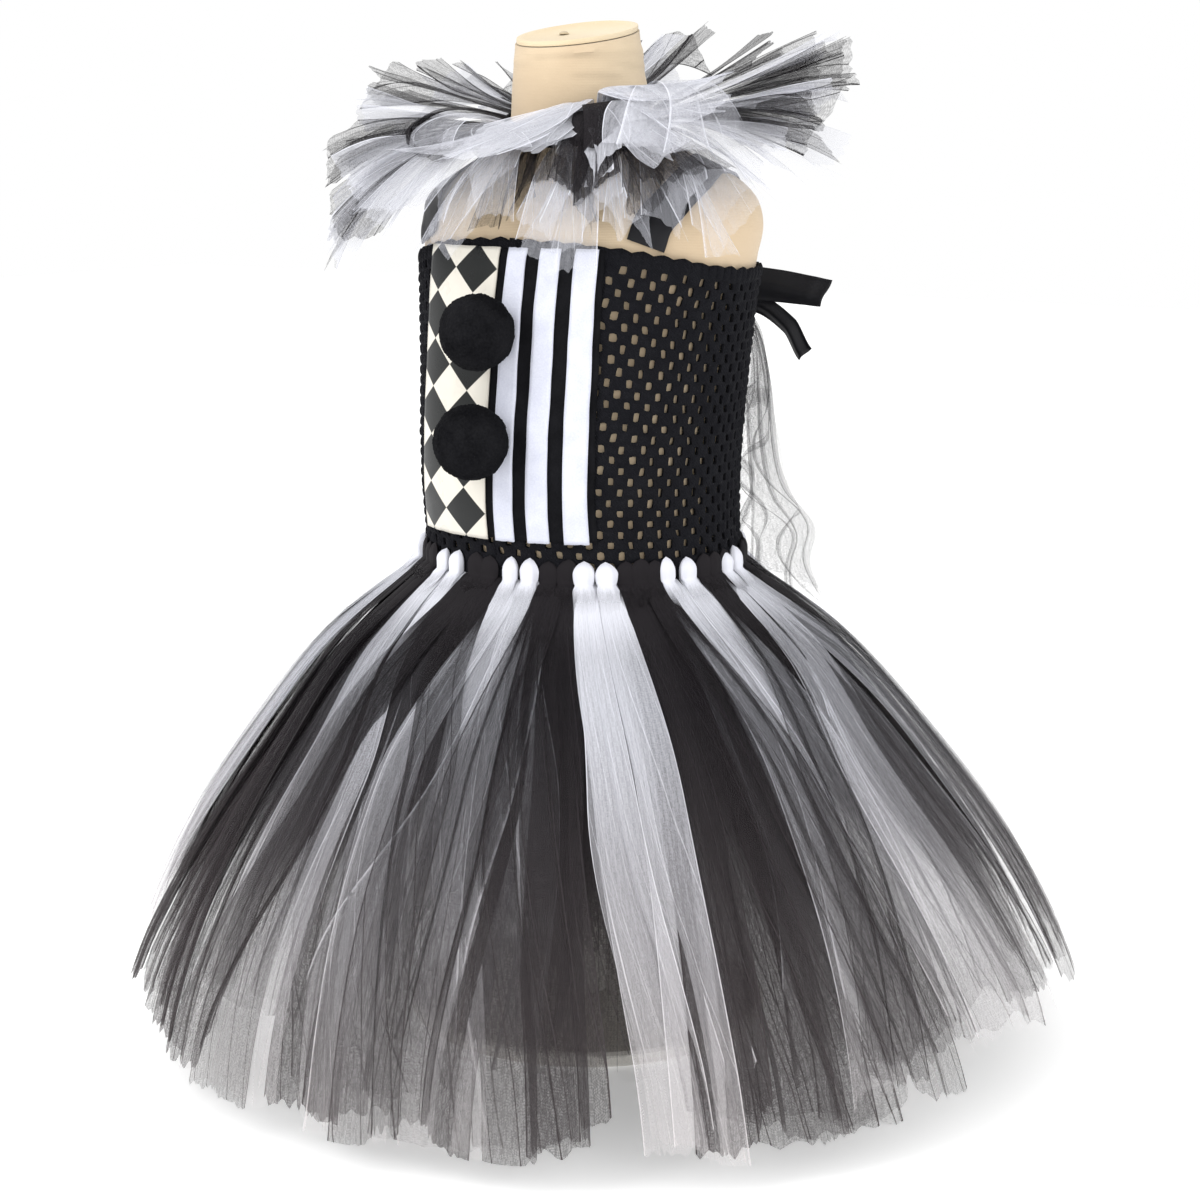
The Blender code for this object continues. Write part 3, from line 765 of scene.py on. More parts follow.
@dataclass
class Bodice:
    """The crocheted tube top as a net of yarn with staggered holes."""

    shape: FormShape
    ease: float = 0.0016
    wall: float = 0.0022
    bottom: float = 0.3120
    top_front: float = 0.5190
    top_side: float = 0.5010
    top_back: float = 0.5030
    columns: int = 98
    rows: int = 30
    hole_width_share: float = 0.64
    hole_height_share: float = 0.84
    yarn_share: float = 0.1
    knot_share: float = 0.26
    ridge: float = 0.0021
    scallop: float = 0.0018
    unevenness: float = 0.0008
    halves: tuple[str, str] = ("bodice_crochet_left", "bodice_crochet_right")

    def top(self, azimuth: float) -> float:
        """Height of the upper edge, highest at the middle of the front."""
        ahead = math.cos(math.radians(azimuth))
        front, back = max(ahead, 0.0) ** 1.5, max(-ahead, 0.0) ** 1.5
        return (self.top_side + (self.top_front - self.top_side) * front
                + (self.top_back - self.top_side) * back)

    def build(self) -> None:
        """Builds the tube in two halves, which meet at the middle of the front and the back."""
        for index, name in enumerate(self.halves):
            obj = self.build_half(name, index)
            dress("bodice_tube")

    def build_half(self, name: str, index: int) -> Object:
        """One half of the tube.

        Args:
            name: The piece's name.
            index: 0 for the +X half and 1 for the -X half.

        Returns:
            The finished object.
        """
        columns = self.columns // 2
        bm = bmesh.new()
        add_grid(bm, columns, self.rows, lambda u, v: Vector((u * columns, v * self.rows, 0)), (0.33, 0.2))
        draw = random.Random(11 + index)
        holes, knots = [], []
        for face in bm.faces:
            middle = face.calc_center_median()
            column, row = int(middle.x) + index * columns, int(middle.y)
            inside = 0 < row < self.rows - 1
            (holes if inside and (column + row) % 2 == 0 else knots).append(face)
        self.cut_holes(bm, holes, draw)
        bmesh.ops.inset_individual(bm, faces=knots, thickness=self.knot_share, depth=0.0)
        raised = {vert for face in knots for vert in face.verts}
        self.wrap(bm, raised, index, draw)
        turn_outwards(bm, CHEST)
        obj = add_piece(name, bm, YARN)
        add_wall(obj, self.wall, crease=0.85)
        rounding = obj.modifiers.new("rounding", "SUBSURF")
        rounding.levels = rounding.render_levels = 1
        return obj

    def cut_holes(self, bm: Mesh, holes: list, draw: random.Random) -> None:
        """Insets each hole's cell, gives the opening its proportions and removes it."""
        bmesh.ops.inset_individual(bm, faces=holes, thickness=self.yarn_share, depth=0.0)
        for face in holes:
            middle = face.calc_center_median()
            width = 0.5 * self.hole_width_share * draw.uniform(0.80, 1.12)
            height = 0.5 * self.hole_height_share * draw.uniform(0.82, 1.08)
            for vert in face.verts:
                side = math.copysign(width, vert.co.x - middle.x)
                rise = math.copysign(height, vert.co.y - middle.y)
                vert.co.x = middle.x + side * draw.uniform(0.8, 1.1)
                vert.co.y = middle.y + rise * draw.uniform(0.85, 1.1) - 0.12 * side
        bmesh.ops.delete(bm, geom=holes, context="FACES")

    def wrap(self, bm: Mesh, raised: set, index: int, draw: random.Random) -> None:
        """Wraps the flat net round the form, with the yarn's bumps and the scalloped edges."""
        columns = self.columns // 2
        for vert in bm.verts:
            across, along = vert.co.x, vert.co.y
            azimuth = (across / columns + index) * 180
            share = along / self.rows
            height = mix(self.bottom, self.top(azimuth), share)
            out = self.ease + (self.ridge * draw.uniform(0.4, 1.2) if vert in raised else 0.0)
            if along > self.rows - 0.5:
                height += self.scallop * (0.5 + 0.5 * math.cos(across * math.pi)) * draw.uniform(0.5, 1.3)
            seam = across < 0.01 or across > columns - 0.01
            jitter = 0.0 if seam else 1.0
            drift = noise.noise(Vector((across * 0.6, along * 0.6, index * 9.0)))
            shift = 0.9 * drift * jitter
            vert.co = self.shape.point(azimuth + shift, height + self.unevenness * drift, out)


# How far the tube's outside stands off the form.
OUTSIDE = Bodice.ease + Bodice.wall


# ------------------------------------------------------------------ panel, stripes and pompoms

class Stripe(NamedTuple):
    """A felt stripe between two x positions."""

    node: str
    left: float
    right: float


@dataclass
class Panel:
    """The front panel: felt backing, harlequin half and white stripes."""

    shape: FormShape
    left: float = -0.0665
    right: float = 0.0640
    bottom: float = 0.3380
    top: float = 0.5150
    middle: float = 0.43
    face_width: float = 0.0022
    over_bottom: float = 0.0012
    over_top: float = 0.0010
    slack: float = 0.0002
    wall: float = 0.0012
    seam: float = 0.0004
    round_seam: float = 0.0010
    margin: float = 0.0015
    harlequin_right: float = -0.0030
    top_row: float = 0.5028
    stripes: tuple[Stripe, ...] = table_of(Stripe, (
        ("stripe_inner", 0.0032, 0.0166),
        ("stripe_middle", 0.0255, 0.0388),
        ("stripe_outer", 0.0476, 0.0612),
    ))

    def piece(self, name: str, node: str, left: float, right: float, bottom: float, top: float, level: float,
              finish: "Felt | Harlequin", waver: float) -> Object:
        """A flat-cut piece laid on the tube's front.

        Args:
            name: The piece's name.
            node: The solid that it stands for.
            left: Its left edge, as x.
            right: Its right edge, as x.
            bottom: Its lower edge's height.
            top: Its upper edge's height.
            level: How far its inside is from the tube's outside.
            finish: Its finish.
            waver: How far its cut edges stray from straight.

        Returns:
            The object.
        """
        out = OUTSIDE + level

        def place(u: float, v: float) -> Vector:
            height = mix(bottom, top, v)
            edge = abs(2 * u - 1) ** 6
            stray = waver * edge * noise.noise(Vector((u * 3, v * 9, left * 300)))
            x = mix(left, right, u) + stray
            rise = waver * abs(2 * v - 1) ** 8 * noise.noise(Vector((u * 7, v * 2, right * 300)))
            sag = 0.0003 * noise.noise(Vector((x * 40, height * 25, 5.0)))
            azimuth = self.shape.azimuth_at(x, height, out)
            return self.shape.point(azimuth, height + rise, out + sag + self.slack)
        grid = max(6, round((right - left) / self.face_width)), 64
        flat = right - left, top - bottom
        obj = add_cloth(name, finish, grid, place, flat, self.wall - self.slack, CHEST)
        obj.data.set_sharp_from_angle(angle=math.radians(40))
        dress(node)
        return obj

    def build(self) -> None:
        """Builds backing, harlequin half and stripes."""
        self.piece("panel_felt_backing", "panel_backing", self.left, self.right, self.bottom, self.top,
                   self.round_seam, BLACK_FELT, 0.0006)
        level = self.round_seam + self.wall + self.seam
        bottom, top = self.bottom - self.over_bottom, self.top + self.over_top
        harlequin = self.piece("panel_harlequin", "panel_diamonds", self.left + self.margin,
                               self.harlequin_right, bottom, top, level, LEATHERETTE, 0.0003)
        self.place_diamonds(harlequin, level)
        for stripe in self.stripes:
            self.piece(f"felt_{stripe.node}", stripe.node, stripe.left, stripe.right, bottom, top, level,
                       WHITE_FELT, 0.0004)

    def place_diamonds(self, obj: Object, level: float) -> None:
        """Lays the UV map in metres round the tube from the right edge and down from the top row's middle."""
        ring, out = self.shape.ring(self.middle), OUTSIDE + level
        half_width, half_depth = ring.half_width + out, ring.half_depth + out
        for loop in obj.data.loops:
            point = obj.data.vertices[loop.vertex_index].co
            turn = math.asin(max(-1.0, min(1.0, (point.x - self.harlequin_right) / half_width)))
            across, arc = half_width * math.sin(turn), 0.5 * (half_width + half_depth) * turn
            uv = obj.data.uv_layers[0].data[loop.index].uv
            uv.x, uv.y = mix(across, arc, 0.5), point.z - self.top_row - 0.5 * LEATHERETTE.pitch[1]


class Pom(NamedTuple):
    """A pompom's node and height."""

    node: str
    height: float


@dataclass
class Pompoms:
    """Two round fleece balls on the seam between the panel's halves."""

    shape: FormShape
    poms: tuple[Pom, ...] = (Pom("pom_upper", 0.4665), Pom("pom_lower", 0.4000))
    x: float = 0.0012
    radius: float = 0.0240
    seat: float = 0.84
    face: float = OUTSIDE + Panel.round_seam + 2 * Panel.wall + 2 * Panel.seam
    clearance: float = 0.0004
    lump: float = 0.0009
    pile: float = 0.0012

    def build(self) -> None:
        """Builds both balls with their short pile."""
        for index, pom in enumerate(self.poms):
            azimuth = self.shape.azimuth_at(self.x, pom.height, self.face)
            seat = self.shape.point(azimuth, pom.height, self.face)
            flat = seat.y - self.clearance
            centre = Vector((seat.x, flat - self.radius * self.seat, seat.z))
            bm = bmesh.new()
            bmesh.ops.create_icosphere(bm, subdivisions=6, radius=self.radius - 0.6 * self.pile)
            draw = random.Random(31 + index)
            for vert in bm.verts:
                way = vert.co.normalized()
                lumps = noise.noise(way * 3.1 + Vector((index * 7.0, 0, 0))) * self.lump
                curls = noise.noise(way * 30.0 + Vector((0, index * 5.0, 0)))
                tuft = self.pile * (0.25 * curls + 0.55 * draw.random() ** 2)
                vert.co = centre + vert.co + way * (lumps + tuft - 0.4 * self.pile)
                vert.co.y = min(vert.co.y, flat)
            obj = add_piece(f"{pom.node}_fleece", bm, FLEECE)
            dress(pom.node)


# ------------------------------------------------------------------ ribbon straps and the tie

class PathPoint(NamedTuple):
    """A point of a strap's middle line on the form."""

    step: float
    azimuth: float
    height: float


class TailPoint(NamedTuple):
    """A point of a ribbon end's middle line; lean tips its width over."""

    x: float
    y: float
    z: float
    lean: float


@dataclass
class Ribbons:
    """Two straps, the knot at the back and its two loose ends."""

    shape: FormShape
    path: tuple[PathPoint, ...] = table_of(PathPoint, (
        (0, 44, 0.5180),
        (1, 46, 0.5350),
        (2, 60, 0.5540),
        (3, 84, 0.5640),
        (4, 108, 0.5650),
        (5, 130, 0.5600),
        (6, 149, 0.5440),
        (7, 161, 0.5240),
        (8, 165, 0.5100),
    ))
    strap_width: float = 0.024
    strap_ease: float = 0.0012
    strap_wall: float = 0.0009
    strap_length: float = 0.236
    ripple: float = 0.0005
    curl: float = 0.0016
    tails: dict[str, tuple[TailPoint, ...]] = field(default_factory=lambda: {
        "tie_tail_upper": (
            TailPoint(0.0125, 0.1080, 0.4820, 0.0),
            TailPoint(0.0380, 0.1190, 0.4840, 0.1),
            TailPoint(0.0650, 0.1300, 0.4825, 0.2),
            TailPoint(0.0880, 0.1370, 0.4795, 0.3),
            TailPoint(0.0980, 0.1400, 0.4780, 0.3),
        ),
        "tie_tail_lower": (
            TailPoint(0.0125, 0.1150, 0.4770, 0.2),
            TailPoint(0.0330, 0.1250, 0.4740, 0.5),
            TailPoint(0.0550, 0.1320, 0.4680, 0.7),
            TailPoint(0.0740, 0.1340, 0.4550, 0.8),
            TailPoint(0.0860, 0.1340, 0.4370, 0.8),
        ),
    })
    tail_widths: dict[str, tuple[float, float]] = field(default_factory=lambda: {
        "tie_tail_upper": (0.0280, 0.0180),
        "tie_tail_lower": (0.0150, 0.0085),
    })
    tail_length: float = 0.098
    tail_wall: float = 0.0007
    tail_slant: float = 0.006
    tail_tip: Vector = field(default_factory=lambda: Vector((0.35, 0.25, 0.0)))
    knot_radius: float = 0.0095
    knot_height: float = 0.4920
    knot_depth_scale: float = 0.55
    knot_out: float = OUTSIDE + 0.0075

    def build(self) -> None:
        """Builds the straps, the knot and the ends."""
        self.build_strap("strap_left", 1)
        self.build_strap("strap_right", -1)
        self.build_knot()
        for node, points in self.tails.items():
            self.build_tail(node, points)

    def strap_place(self, share: float, side: int) -> tuple[float, float]:
        """Azimuth and height a share of the way along a strap; side is 1 for +X, -1 for -X."""
        step = self.path[-1].step * min(max(share, 0.0), 1.0)
        return (side * read_column(self.path, "step", step, "azimuth"),
                read_column(self.path, "step", step, "height"))

    def build_strap(self, node: str, side: int) -> None:
        """One strap over a shoulder, with soft ripples along its edges."""
        reach = 1 / 32

        def place(u: float, v: float) -> Vector:
            middle, before, after = [self.shape.point(*self.strap_place(share, side), self.strap_ease)
                                     for share in (v, v - reach, v + reach)]
            normal = self.shape.normal(*self.strap_place(v, side))
            across = (after - before).cross(normal).normalized()
            ripple = self.ripple * abs(2 * u - 1) ** 2 * math.sin(31 * v + 3 * u)
            return middle + across * self.strap_width * (u - 0.5) + normal * (ripple + 0.0002)
        flat = self.strap_width, self.strap_length
        obj = add_cloth(f"{node}_ribbon", RIBBON, (10, 72), place, flat, self.strap_wall, HIPS)
        dress(node)

    def build_knot(self) -> None:
        """A flattened knot with the folds of the ribbon that goes round it."""
        seat = self.shape.point(180, self.knot_height, self.knot_out)
        bm = make_ball(56, 36, self.knot_radius)
        for vert in bm.verts:
            turn = math.atan2(vert.co.z, vert.co.x)
            fold = 1 + 0.05 * math.cos(3 * turn + 400 * vert.co.x) + 0.07 * math.cos(2 * turn)
            vert.co = Vector((vert.co.x * fold, vert.co.y * self.knot_depth_scale * fold, vert.co.z)) + seat
        obj = add_piece("tie_knot_ribbon", bm, RIBBON)
        dress("tie_knot")

    def build_tail(self, node: str, points: tuple[TailPoint, ...]) -> None:
        """One loose end, cut on a slant, with a slight curl."""
        first, last = points[0].x, points[-1].x
        near, far = self.tail_widths[node]
        width = (near + far) / 2

        def place(u: float, v: float) -> Vector:
            x = mix(first, last, v)
            middle = Vector((x, read_column(points, "x", x, "y"), read_column(points, "x", x, "z")))
            across = (self.tail_tip * read_column(points, "x", x, "lean") + Vector((0, 0, 1))).normalized()
            slant = self.tail_slant * (u - 0.5) * v
            pinch = mix(0.80, 1.0, smooth(v * 3.5))
            curl = self.curl * math.sin(2 * math.pi * (u + 0.4 * v)) * smooth(v * 2)
            return middle + across * mix(near, far, v) * pinch * (u - 0.5) + Vector((slant, curl, 0))
        obj = add_cloth(f"{node}_ribbon", RIBBON, (16, 48), place, (width, self.tail_length), self.tail_wall)
        dress(node)


# ------------------------------------------------------------------ tulle

def mark_layers(bm: Mesh, names: Sequence[str] = MARKS) -> list[bmesh.types.BMLayerItem]:
    """The mesh's layers of numbers that the net's material reads, made where they are missing."""
    layers = bm.verts.layers.float
    for name in names:
        if name not in layers:
            layers.new(name)
    return [layers[name] for name in names]


def set_marks(verts: Sequence[bmesh.types.BMVert], marks: Sequence, given: Sequence[Sequence[float]]) -> None:
    """Gives each point its numbers, in the order in which the points were placed."""
    for vert, values in zip(verts, given):
        for mark, value in zip(marks, values):
            vert[mark] = value


class Net(Enum):
    """The two colours of tulle, by the name of the record's slot for skirts."""

    WHITE = "white_tulle"
    BLACK = "black_tulle"

    @property
    def finish(self) -> Tulle:
        """The finish of this colour."""
        return WHITE_TULLE if self is Net.WHITE else BLACK_TULLE


WHITE, BLACK = Net


@dataclass
class Layer:
    """One hanging thickness of a strip, folded over itself along its length.

    Azimuths are in degrees and lengths in metres.  The strip leaves its knot gathered and
    opens along the path, whose second argument is the share of the way from the knot.  Its net
    is dense times as thick as one thickness, thins out past fade and is thicker near the knot.
    """

    middle: float
    half_knot: float
    half_end: float
    width: float
    length: float
    lift: float
    depth: float
    pleats: float
    phase: float
    swing: float
    sway: float
    end_slant: float
    end_point: float
    short: float
    opening: float = 0.9
    dense: float = 1.0
    hem_dense: float = 1.0
    fade: float = 2.0
    near: float = 3.5
    columns: int = 36
    rows: int = 30
    fray: float = 0.022
    bend: float = 0.35
    wander: float = 0.55 * 0.35
    thinning: float = 9.0
    near_end: float = 1 / 6

    def add(self, bm: Mesh, path: Path, shift: float) -> float:
        """Adds the layer to a mesh, with its gather at each point.

        Args:
            bm: The mesh.
            path: Gives the point at (azimuth, share of the way, metres lifted off).
            shift: Metres that its net pattern is moved by.

        Returns:
            The length of its middle line.
        """
        marks = mark_layers(bm)
        given = []
        knot_radius = path(self.middle, 0.0, 0.0).xy.length
        end_radius = path(self.middle, 1.0, 0.0).xy.length
        bend = 0.4 + 0.6 * ((self.phase * 7) % 1)

        def place(u: float, v: float) -> Vector:
            frayed = self.fray * noise.noise(Vector((17 * u, 9 * self.phase, 1.0)))
            cut = self.short + self.end_slant * (u - 0.5) + self.end_point * abs(2 * u - 1) + frayed
            share = (1 - v) * (1 - cut)
            bent = self.bend * bend * math.sin(2.6 * share + self.phase * 9)
            turn = 2 * math.pi * (self.pleats * u + self.phase + bent)
            opened = share ** self.opening
            spread = mix(self.half_knot, self.half_end, opened)
            fold = self.swing * mix(2.0, 1.0, share)
            swing = fold / (math.pi * self.pleats)
            wander = self.wander * noise.noise(Vector((2.2 * share + self.phase * 40, 1.6 * u, self.pleats)))
            side = (2 * u - 1) + swing * math.sin(turn) + wander * min(share * 3, 1.0)
            azimuth = self.middle + self.sway * share * share + spread * side
            swell = mix(0.10, 1.0, share ** 0.8) * (1 - 0.6 * smooth(share * 2 - 1))
            wave = self.depth * swell * math.cos(turn)
            point = path(azimuth, share, self.lift * min(share * 5, 1.0) + wave)
            radius = mix(knot_radius, end_radius, share)
            closed = self.width / (2 * math.radians(spread) * radius * max(1.0, 0.4 + 0.6 * fold))
            thinned = math.exp(-self.thinning * max(share - self.fade, 0.0))
            dense = mix(self.dense, min(self.dense, self.hem_dense), smooth((share - 0.22) / 0.40))
            gathered = 1 + self.near * smooth(1 - share / self.near_end)
            given.append((dense * closed * thinned * gathered, turn, fold, 1.0 if u in (0, 1) else 0.0))
            return point
        verts = add_grid(bm, self.columns, self.rows, place, (self.width, self.length), shift)
        set_marks(verts, marks, given)
        line = [path(self.middle, step / 12 * (1 - self.short), 0.0) for step in range(13)]
        return sum((after - before).length for before, after in zip(line, line[1:]))


def add_puff(bm: Mesh, path: Path, azimuth: float, lean: float, top: float, size: Vector,
             draw: random.Random) -> None:
    """Adds the folded part of a strip over its knot, which thins into the strip below.

    Args:
        bm: The mesh.
        path: Gives the point at (azimuth, share of the way, metres lifted off).
        azimuth: Where it sits, in degrees.
        lean: Degrees that it goes aside on its way down.
        top: Height of its top.
        size: Half its width and depth, and the share of the way that it reaches down to.
        draw: Source of its small differences.
    """
    away = direction(azimuth)
    side = Vector((-away.y, away.x, 0))
    phase, count, bow = draw.uniform(0, 6), draw.randint(5, 8), draw.uniform(-1, 1) * 0.10
    knot, rounded = 0.34, 0.20
    given = []

    def place(u: float, v: float) -> Vector:
        run = 1 - v
        turn = 2 * math.pi * u
        below = max(run - knot, 0.0) / (1 - knot)
        share = size.z * below
        centre = path(azimuth + lean * smooth(share * 2.4), share, 0.007 * min(share * 5, 1.0))
        centre.z += (top - centre.z) * (1 - min(run / knot, 1.0))
        full = math.sin(math.pi / 2 * min(run / rounded, 1.0)) ** 0.6
        crease = 1 - 0.12 * abs(math.cos(count * 0.5 * turn + phase + 2.0 * run)) ** 0.6
        wide = size.x * full * crease * (1 - 0.16 * math.exp(-((run - 0.42) / 0.10) ** 2))
        deep = size.y * full * crease * mix(1.0, 0.22, smooth(below * 1.1))
        given.append([60.0 * math.exp(-4.0 * below) * (1 - smooth(below * 2 - 1)) + 0.05])
        return centre + side * wide * (math.cos(turn) + bow) + away * deep * (math.sin(turn) + 0.55)
    marks = mark_layers(bm, MARKS[:1])
    set_marks(add_grid(bm, 26, 26, place, (0.05, 0.07), draw.uniform(0, 30)), marks, given)


# ------------------------------------------------------------------ the veil at the back

class VeilRow(NamedTuple):
    """One level of the veil; stand_off counts from the tube's outside."""

    run: float
    height: float
    stand_off: float
    from_azimuth: float
    to_azimuth: float
    fold: float


@dataclass
class BackVeil:
    """A sheer length of black tulle that hangs from the tie and spreads over the skirt's top."""

    shape: FormShape
    waist: float = 0.325
    table: tuple[VeilRow, ...] = table_of(VeilRow, (
        (0.00, 0.4810, 0.0050, 150, 190, 0.0006),
        (0.11, 0.4580, 0.0120, 128, 194, 0.0010),
        (0.25, 0.4250, 0.0200, 121, 198, 0.0014),
        (0.43, 0.3850, 0.0270, 119, 202, 0.0018),
        (0.57, 0.3550, 0.0350, 117, 205, 0.0022),
        (0.71, 0.3300, 0.0520, 116, 207, 0.0026),
        (0.84, 0.3020, 0.0500, 115, 208, 0.0030),
        (1.00, 0.2560, 0.0780, 114, 207, 0.0030),
    ))
    layers: int = 2
    pleats: float = 4.6
    swing: float = 1.10
    map_size: tuple[float, float] = (0.26, 0.23)
    flat: tuple[float, float] = (0.40, 0.23)

    def build(self) -> None:
        """Builds the veil's layers as one piece."""
        bm = bmesh.new()
        marks = mark_layers(bm)
        draw = random.Random(61)
        for index in range(self.layers):
            phase, shift = draw.uniform(0, 1), draw.uniform(-2, 2)
            share_end = 1 - 0.10 * draw.random()
            given = []

            def place(u: float, v: float) -> Vector:
                run = (1 - v) * share_end * (1 - 0.05 * abs(math.sin(7 * u + 3 * index)))
                row = {column: read_column(self.table, "run", run, column)
                       for column in ("height", "stand_off", "from_azimuth", "to_azimuth", "fold")}
                wander = noise.noise(Vector((3.0 * run + 9 * index, 2.0 * u, 4.0)))
                turn = 2 * math.pi * (self.pleats * u + phase + 1.6 * wander)
                span = row["to_azimuth"] - row["from_azimuth"]
                swing = self.swing / (math.pi * self.pleats)
                across = u + 0.5 * swing * math.sin(turn) * smooth(run * 3)
                azimuth = row["from_azimuth"] + shift * run + span * (across ** 2 if across > 0 else across)
                fin = mix(0.12, 1.0, math.sin(math.pi / 2 * min(max(across, 0.0) / 0.42, 1.0)))
                fin *= mix(1.0, 0.3, smooth((across - 0.42) / 0.58))
                out = (OUTSIDE + row["stand_off"] * fin + row["fold"] * math.cos(turn)
                       + 0.0012 * (index - 1))
                point = self.shape.point(azimuth, max(row["height"], self.waist), out)
                given.append((1 + 2.6 * (1 - run) ** 3, turn, self.swing, 0.0))
                return Vector((point.x, point.y, row["height"]))
            set_marks(add_grid(bm, 120, 56, place, self.map_size, 0.31 * index), marks, given)
        turn_outwards(bm, HIPS)
        obj = add_piece("back_veil_tulle", bm, VEIL_TULLE)
        dress("back_veil")


# ------------------------------------------------------------------ the skirt

class Strip(NamedTuple):
    """One end of a knotted strip: its azimuths at the knot, a third down and at the hem.

    The half width is in degrees at the hem and the lift in millimetres.
    """

    start: float
    via: float
    hem: float
    half: float
    lift: float
    dense: float = 1.0
    hem_dense: float = 1.0


class SkirtRow(NamedTuple):
    """One level of the skirt; run is the way down the cloth and reach the way out."""

    run: float
    height: float
    reach: float


@dataclass
class Skirt:
    """Strips of tulle knotted in groups on the tube's lower edge."""

    shape: FormShape
    table: tuple[SkirtRow, ...] = table_of(SkirtRow, (
        (0.0000, 0.3125, 0.0000),
        (0.0231, 0.2980, 0.0180),
        (0.0919, 0.2530, 0.0700),
        (0.1672, 0.1950, 0.1180),
        (0.2474, 0.1300, 0.1650),
        (0.3154, 0.0700, 0.1970),
        (0.3701, 0.0180, 0.2140),
    ))
    centre_shift: float = 0.022
    flank_drop: float = 0.26
    flank_azimuth: float = -75
    flank_half: float = 40
    waist: float = 0.312
    waist_out: float = OUTSIDE + 0.0010
    white_azimuths: tuple[float, ...] = (-21, 10, 36, 67, 103, 138, 171, 204, 237, 269, 302)
    white_half: float = 8.2
    puff: dict[Net, Vector] = field(default_factory=lambda: {
        WHITE: Vector((0.0068, 0.0048, 0.075)), BLACK: Vector((0.0085, 0.0024, 0.07))})
    puff_top: float = 0.3262
    strip_width: dict[Net, float] = field(default_factory=lambda: {WHITE: 0.085, BLACK: 0.120})
    strip_cut: dict[Net, float] = field(default_factory=lambda: {WHITE: 0.050, BLACK: 0.058})
    near: dict[Net, float] = field(default_factory=lambda: {WHITE: 3.0, BLACK: 7.0})
    rise_right: float = 0.085
    rise_left: float = 0.035
    inner_strips: dict[Net, int] = field(default_factory=lambda: {WHITE: 0, BLACK: 3})
    white_strips: int = 2
    black_spacing: float = 2.8
    lowest: float = 0.0045
    seed: int = 7
    strips: dict[str, tuple[Strip, ...]] = field(default_factory=lambda: {
        group: table_of(Strip, ends) for group, ends in {
            "black_11": ((-46, -44, -46, 7, 4), (-46, -38, -38, 7, 2), (-34, -34, -33, 5, 6, 1.4, 1.4),
                         (-34, -27, -25, 5, 3, 1.2, 1.2), (-40, -32, -29, 11, -4),
                         (-34, -31, -25, 2.5, 9, 2.0, 1.6), (-46, -45, -42, 2.5, 9, 2.0, 1.6)),
            "white_01": ((-24.8, -15, -13, 6, 6, 1.15), (-16.8, -7.5, -8, 6, 8, 1.35),
                         (-24.8, -23, -22, 9, 1), (-16.8, -5, -4, 7, 4)),
            "black_01": ((-8, -11, -18, 4, 9, 1.5, 1.5), (-8, -3, 0, 4, 6, 1.6, 1.6),
                         (-2, 3, 3.5, 4, 5, 1.6, 1.6), (-2, -8, 8, 10, -4), (-8, -14, -12, 4, 11, 0.8),
                         (-2, 5, 9, 4, 11, 0.8)),
            "white_02": ((6.6, 0.2, 5, 5, 8, 1.2), (13.4, 12, 13, 10, 6), (6.6, 6, 11, 8, 4),
                         (13.4, 19, 21, 6, 5)),
            "black_02": ((20, 21, 17, 3, 6, 1.3, 1.3), (20, 23, 26, 4, 6, 1.5, 1.5),
                         (27, 29, 31, 4, 6, 1.6, 1.6), (27, 24, 21, 11, -4), (20, 15, 12, 4, 11, 0.8)),
            "white_03": ((32.2, 36, 41, 3.8, 8, 2.0, 1.2), (39.4, 42, 44.5, 4.2, 9, 1.6, 1.1),
                         (32.2, 37, 43.5, 4.0, 6, 1.5, 1.2), (39.4, 44, 47.5, 4.5, 5, 1.3)),
            "black_03": ((46.5, 49, 47, 4.5, 7, 2.2, 2.2), (46.5, 51, 52, 6, 4, 1.8, 1.8),
                         (52, 55, 56, 6, 5, 1.5, 1.5), (57, 57, 62, 7, 4, 1.2, 1.2), (57, 62, 69, 10, -3),
                         (52, 52, 54, 11, -5, 1.5, 1.5), (57, 65, 70, 4, 11, 0.8)),
            "white_04": ((61.3, 66.5, 65, 6, 8, 1.15), (69.9, 73, 82, 7, 8, 1.1), (61.3, 62, 61, 9, 2),
                         (69.9, 72, 74, 10, 5)),
            "black_04": ((78, 77, 71, 5, 5), (78, 82, 79, 7, 2, 1.2, 1.2), (84, 88, 91, 6, 7, 1.2, 1.2),
                         (90, 95, 99, 7, 4), (84, 84, 88, 11, -4, 1.3, 1.3), (78, 73, 66, 4, 11, 0.8)),
            "white_05": ((90, 82, 86, 6, 8, 1.2), (98, 86, 90, 8, 5), (90, 94, 96, 9, 2),
                         (98, 108, 110, 10, 8)),
            "black_05": ((110, 108, 105, 5, 9, 1.3, 1.3), (110, 114, 112, 8, 4), (120, 121, 120, 9, 3),
                         (130, 126, 127, 7, 5), (118, 116, 116, 11, -4)),
        }.items()})

    def point(self, azimuth: float, share: float, extra: float) -> Vector:
        """Point a share of the way down the skirt, lifted off it by extra metres."""
        run = share * self.table[-1].run
        height = read_column(self.table, "run", run, "height")
        turn = (azimuth - self.flank_azimuth) / self.flank_half
        steeper = 1 - self.flank_drop * math.sin(math.pi * math.sqrt(share)) * math.exp(-turn ** 2)
        reach = read_column(self.table, "run", run, "reach") * steeper + extra
        first, last = self.table[0].height, self.table[-1].height
        flank = self.shape.point(azimuth, self.waist, self.waist_out)
        flank.z = 0.0
        drop = (first - height) / (first - last)
        return flank + direction(azimuth) * reach + Vector((0, self.centre_shift * drop, height))

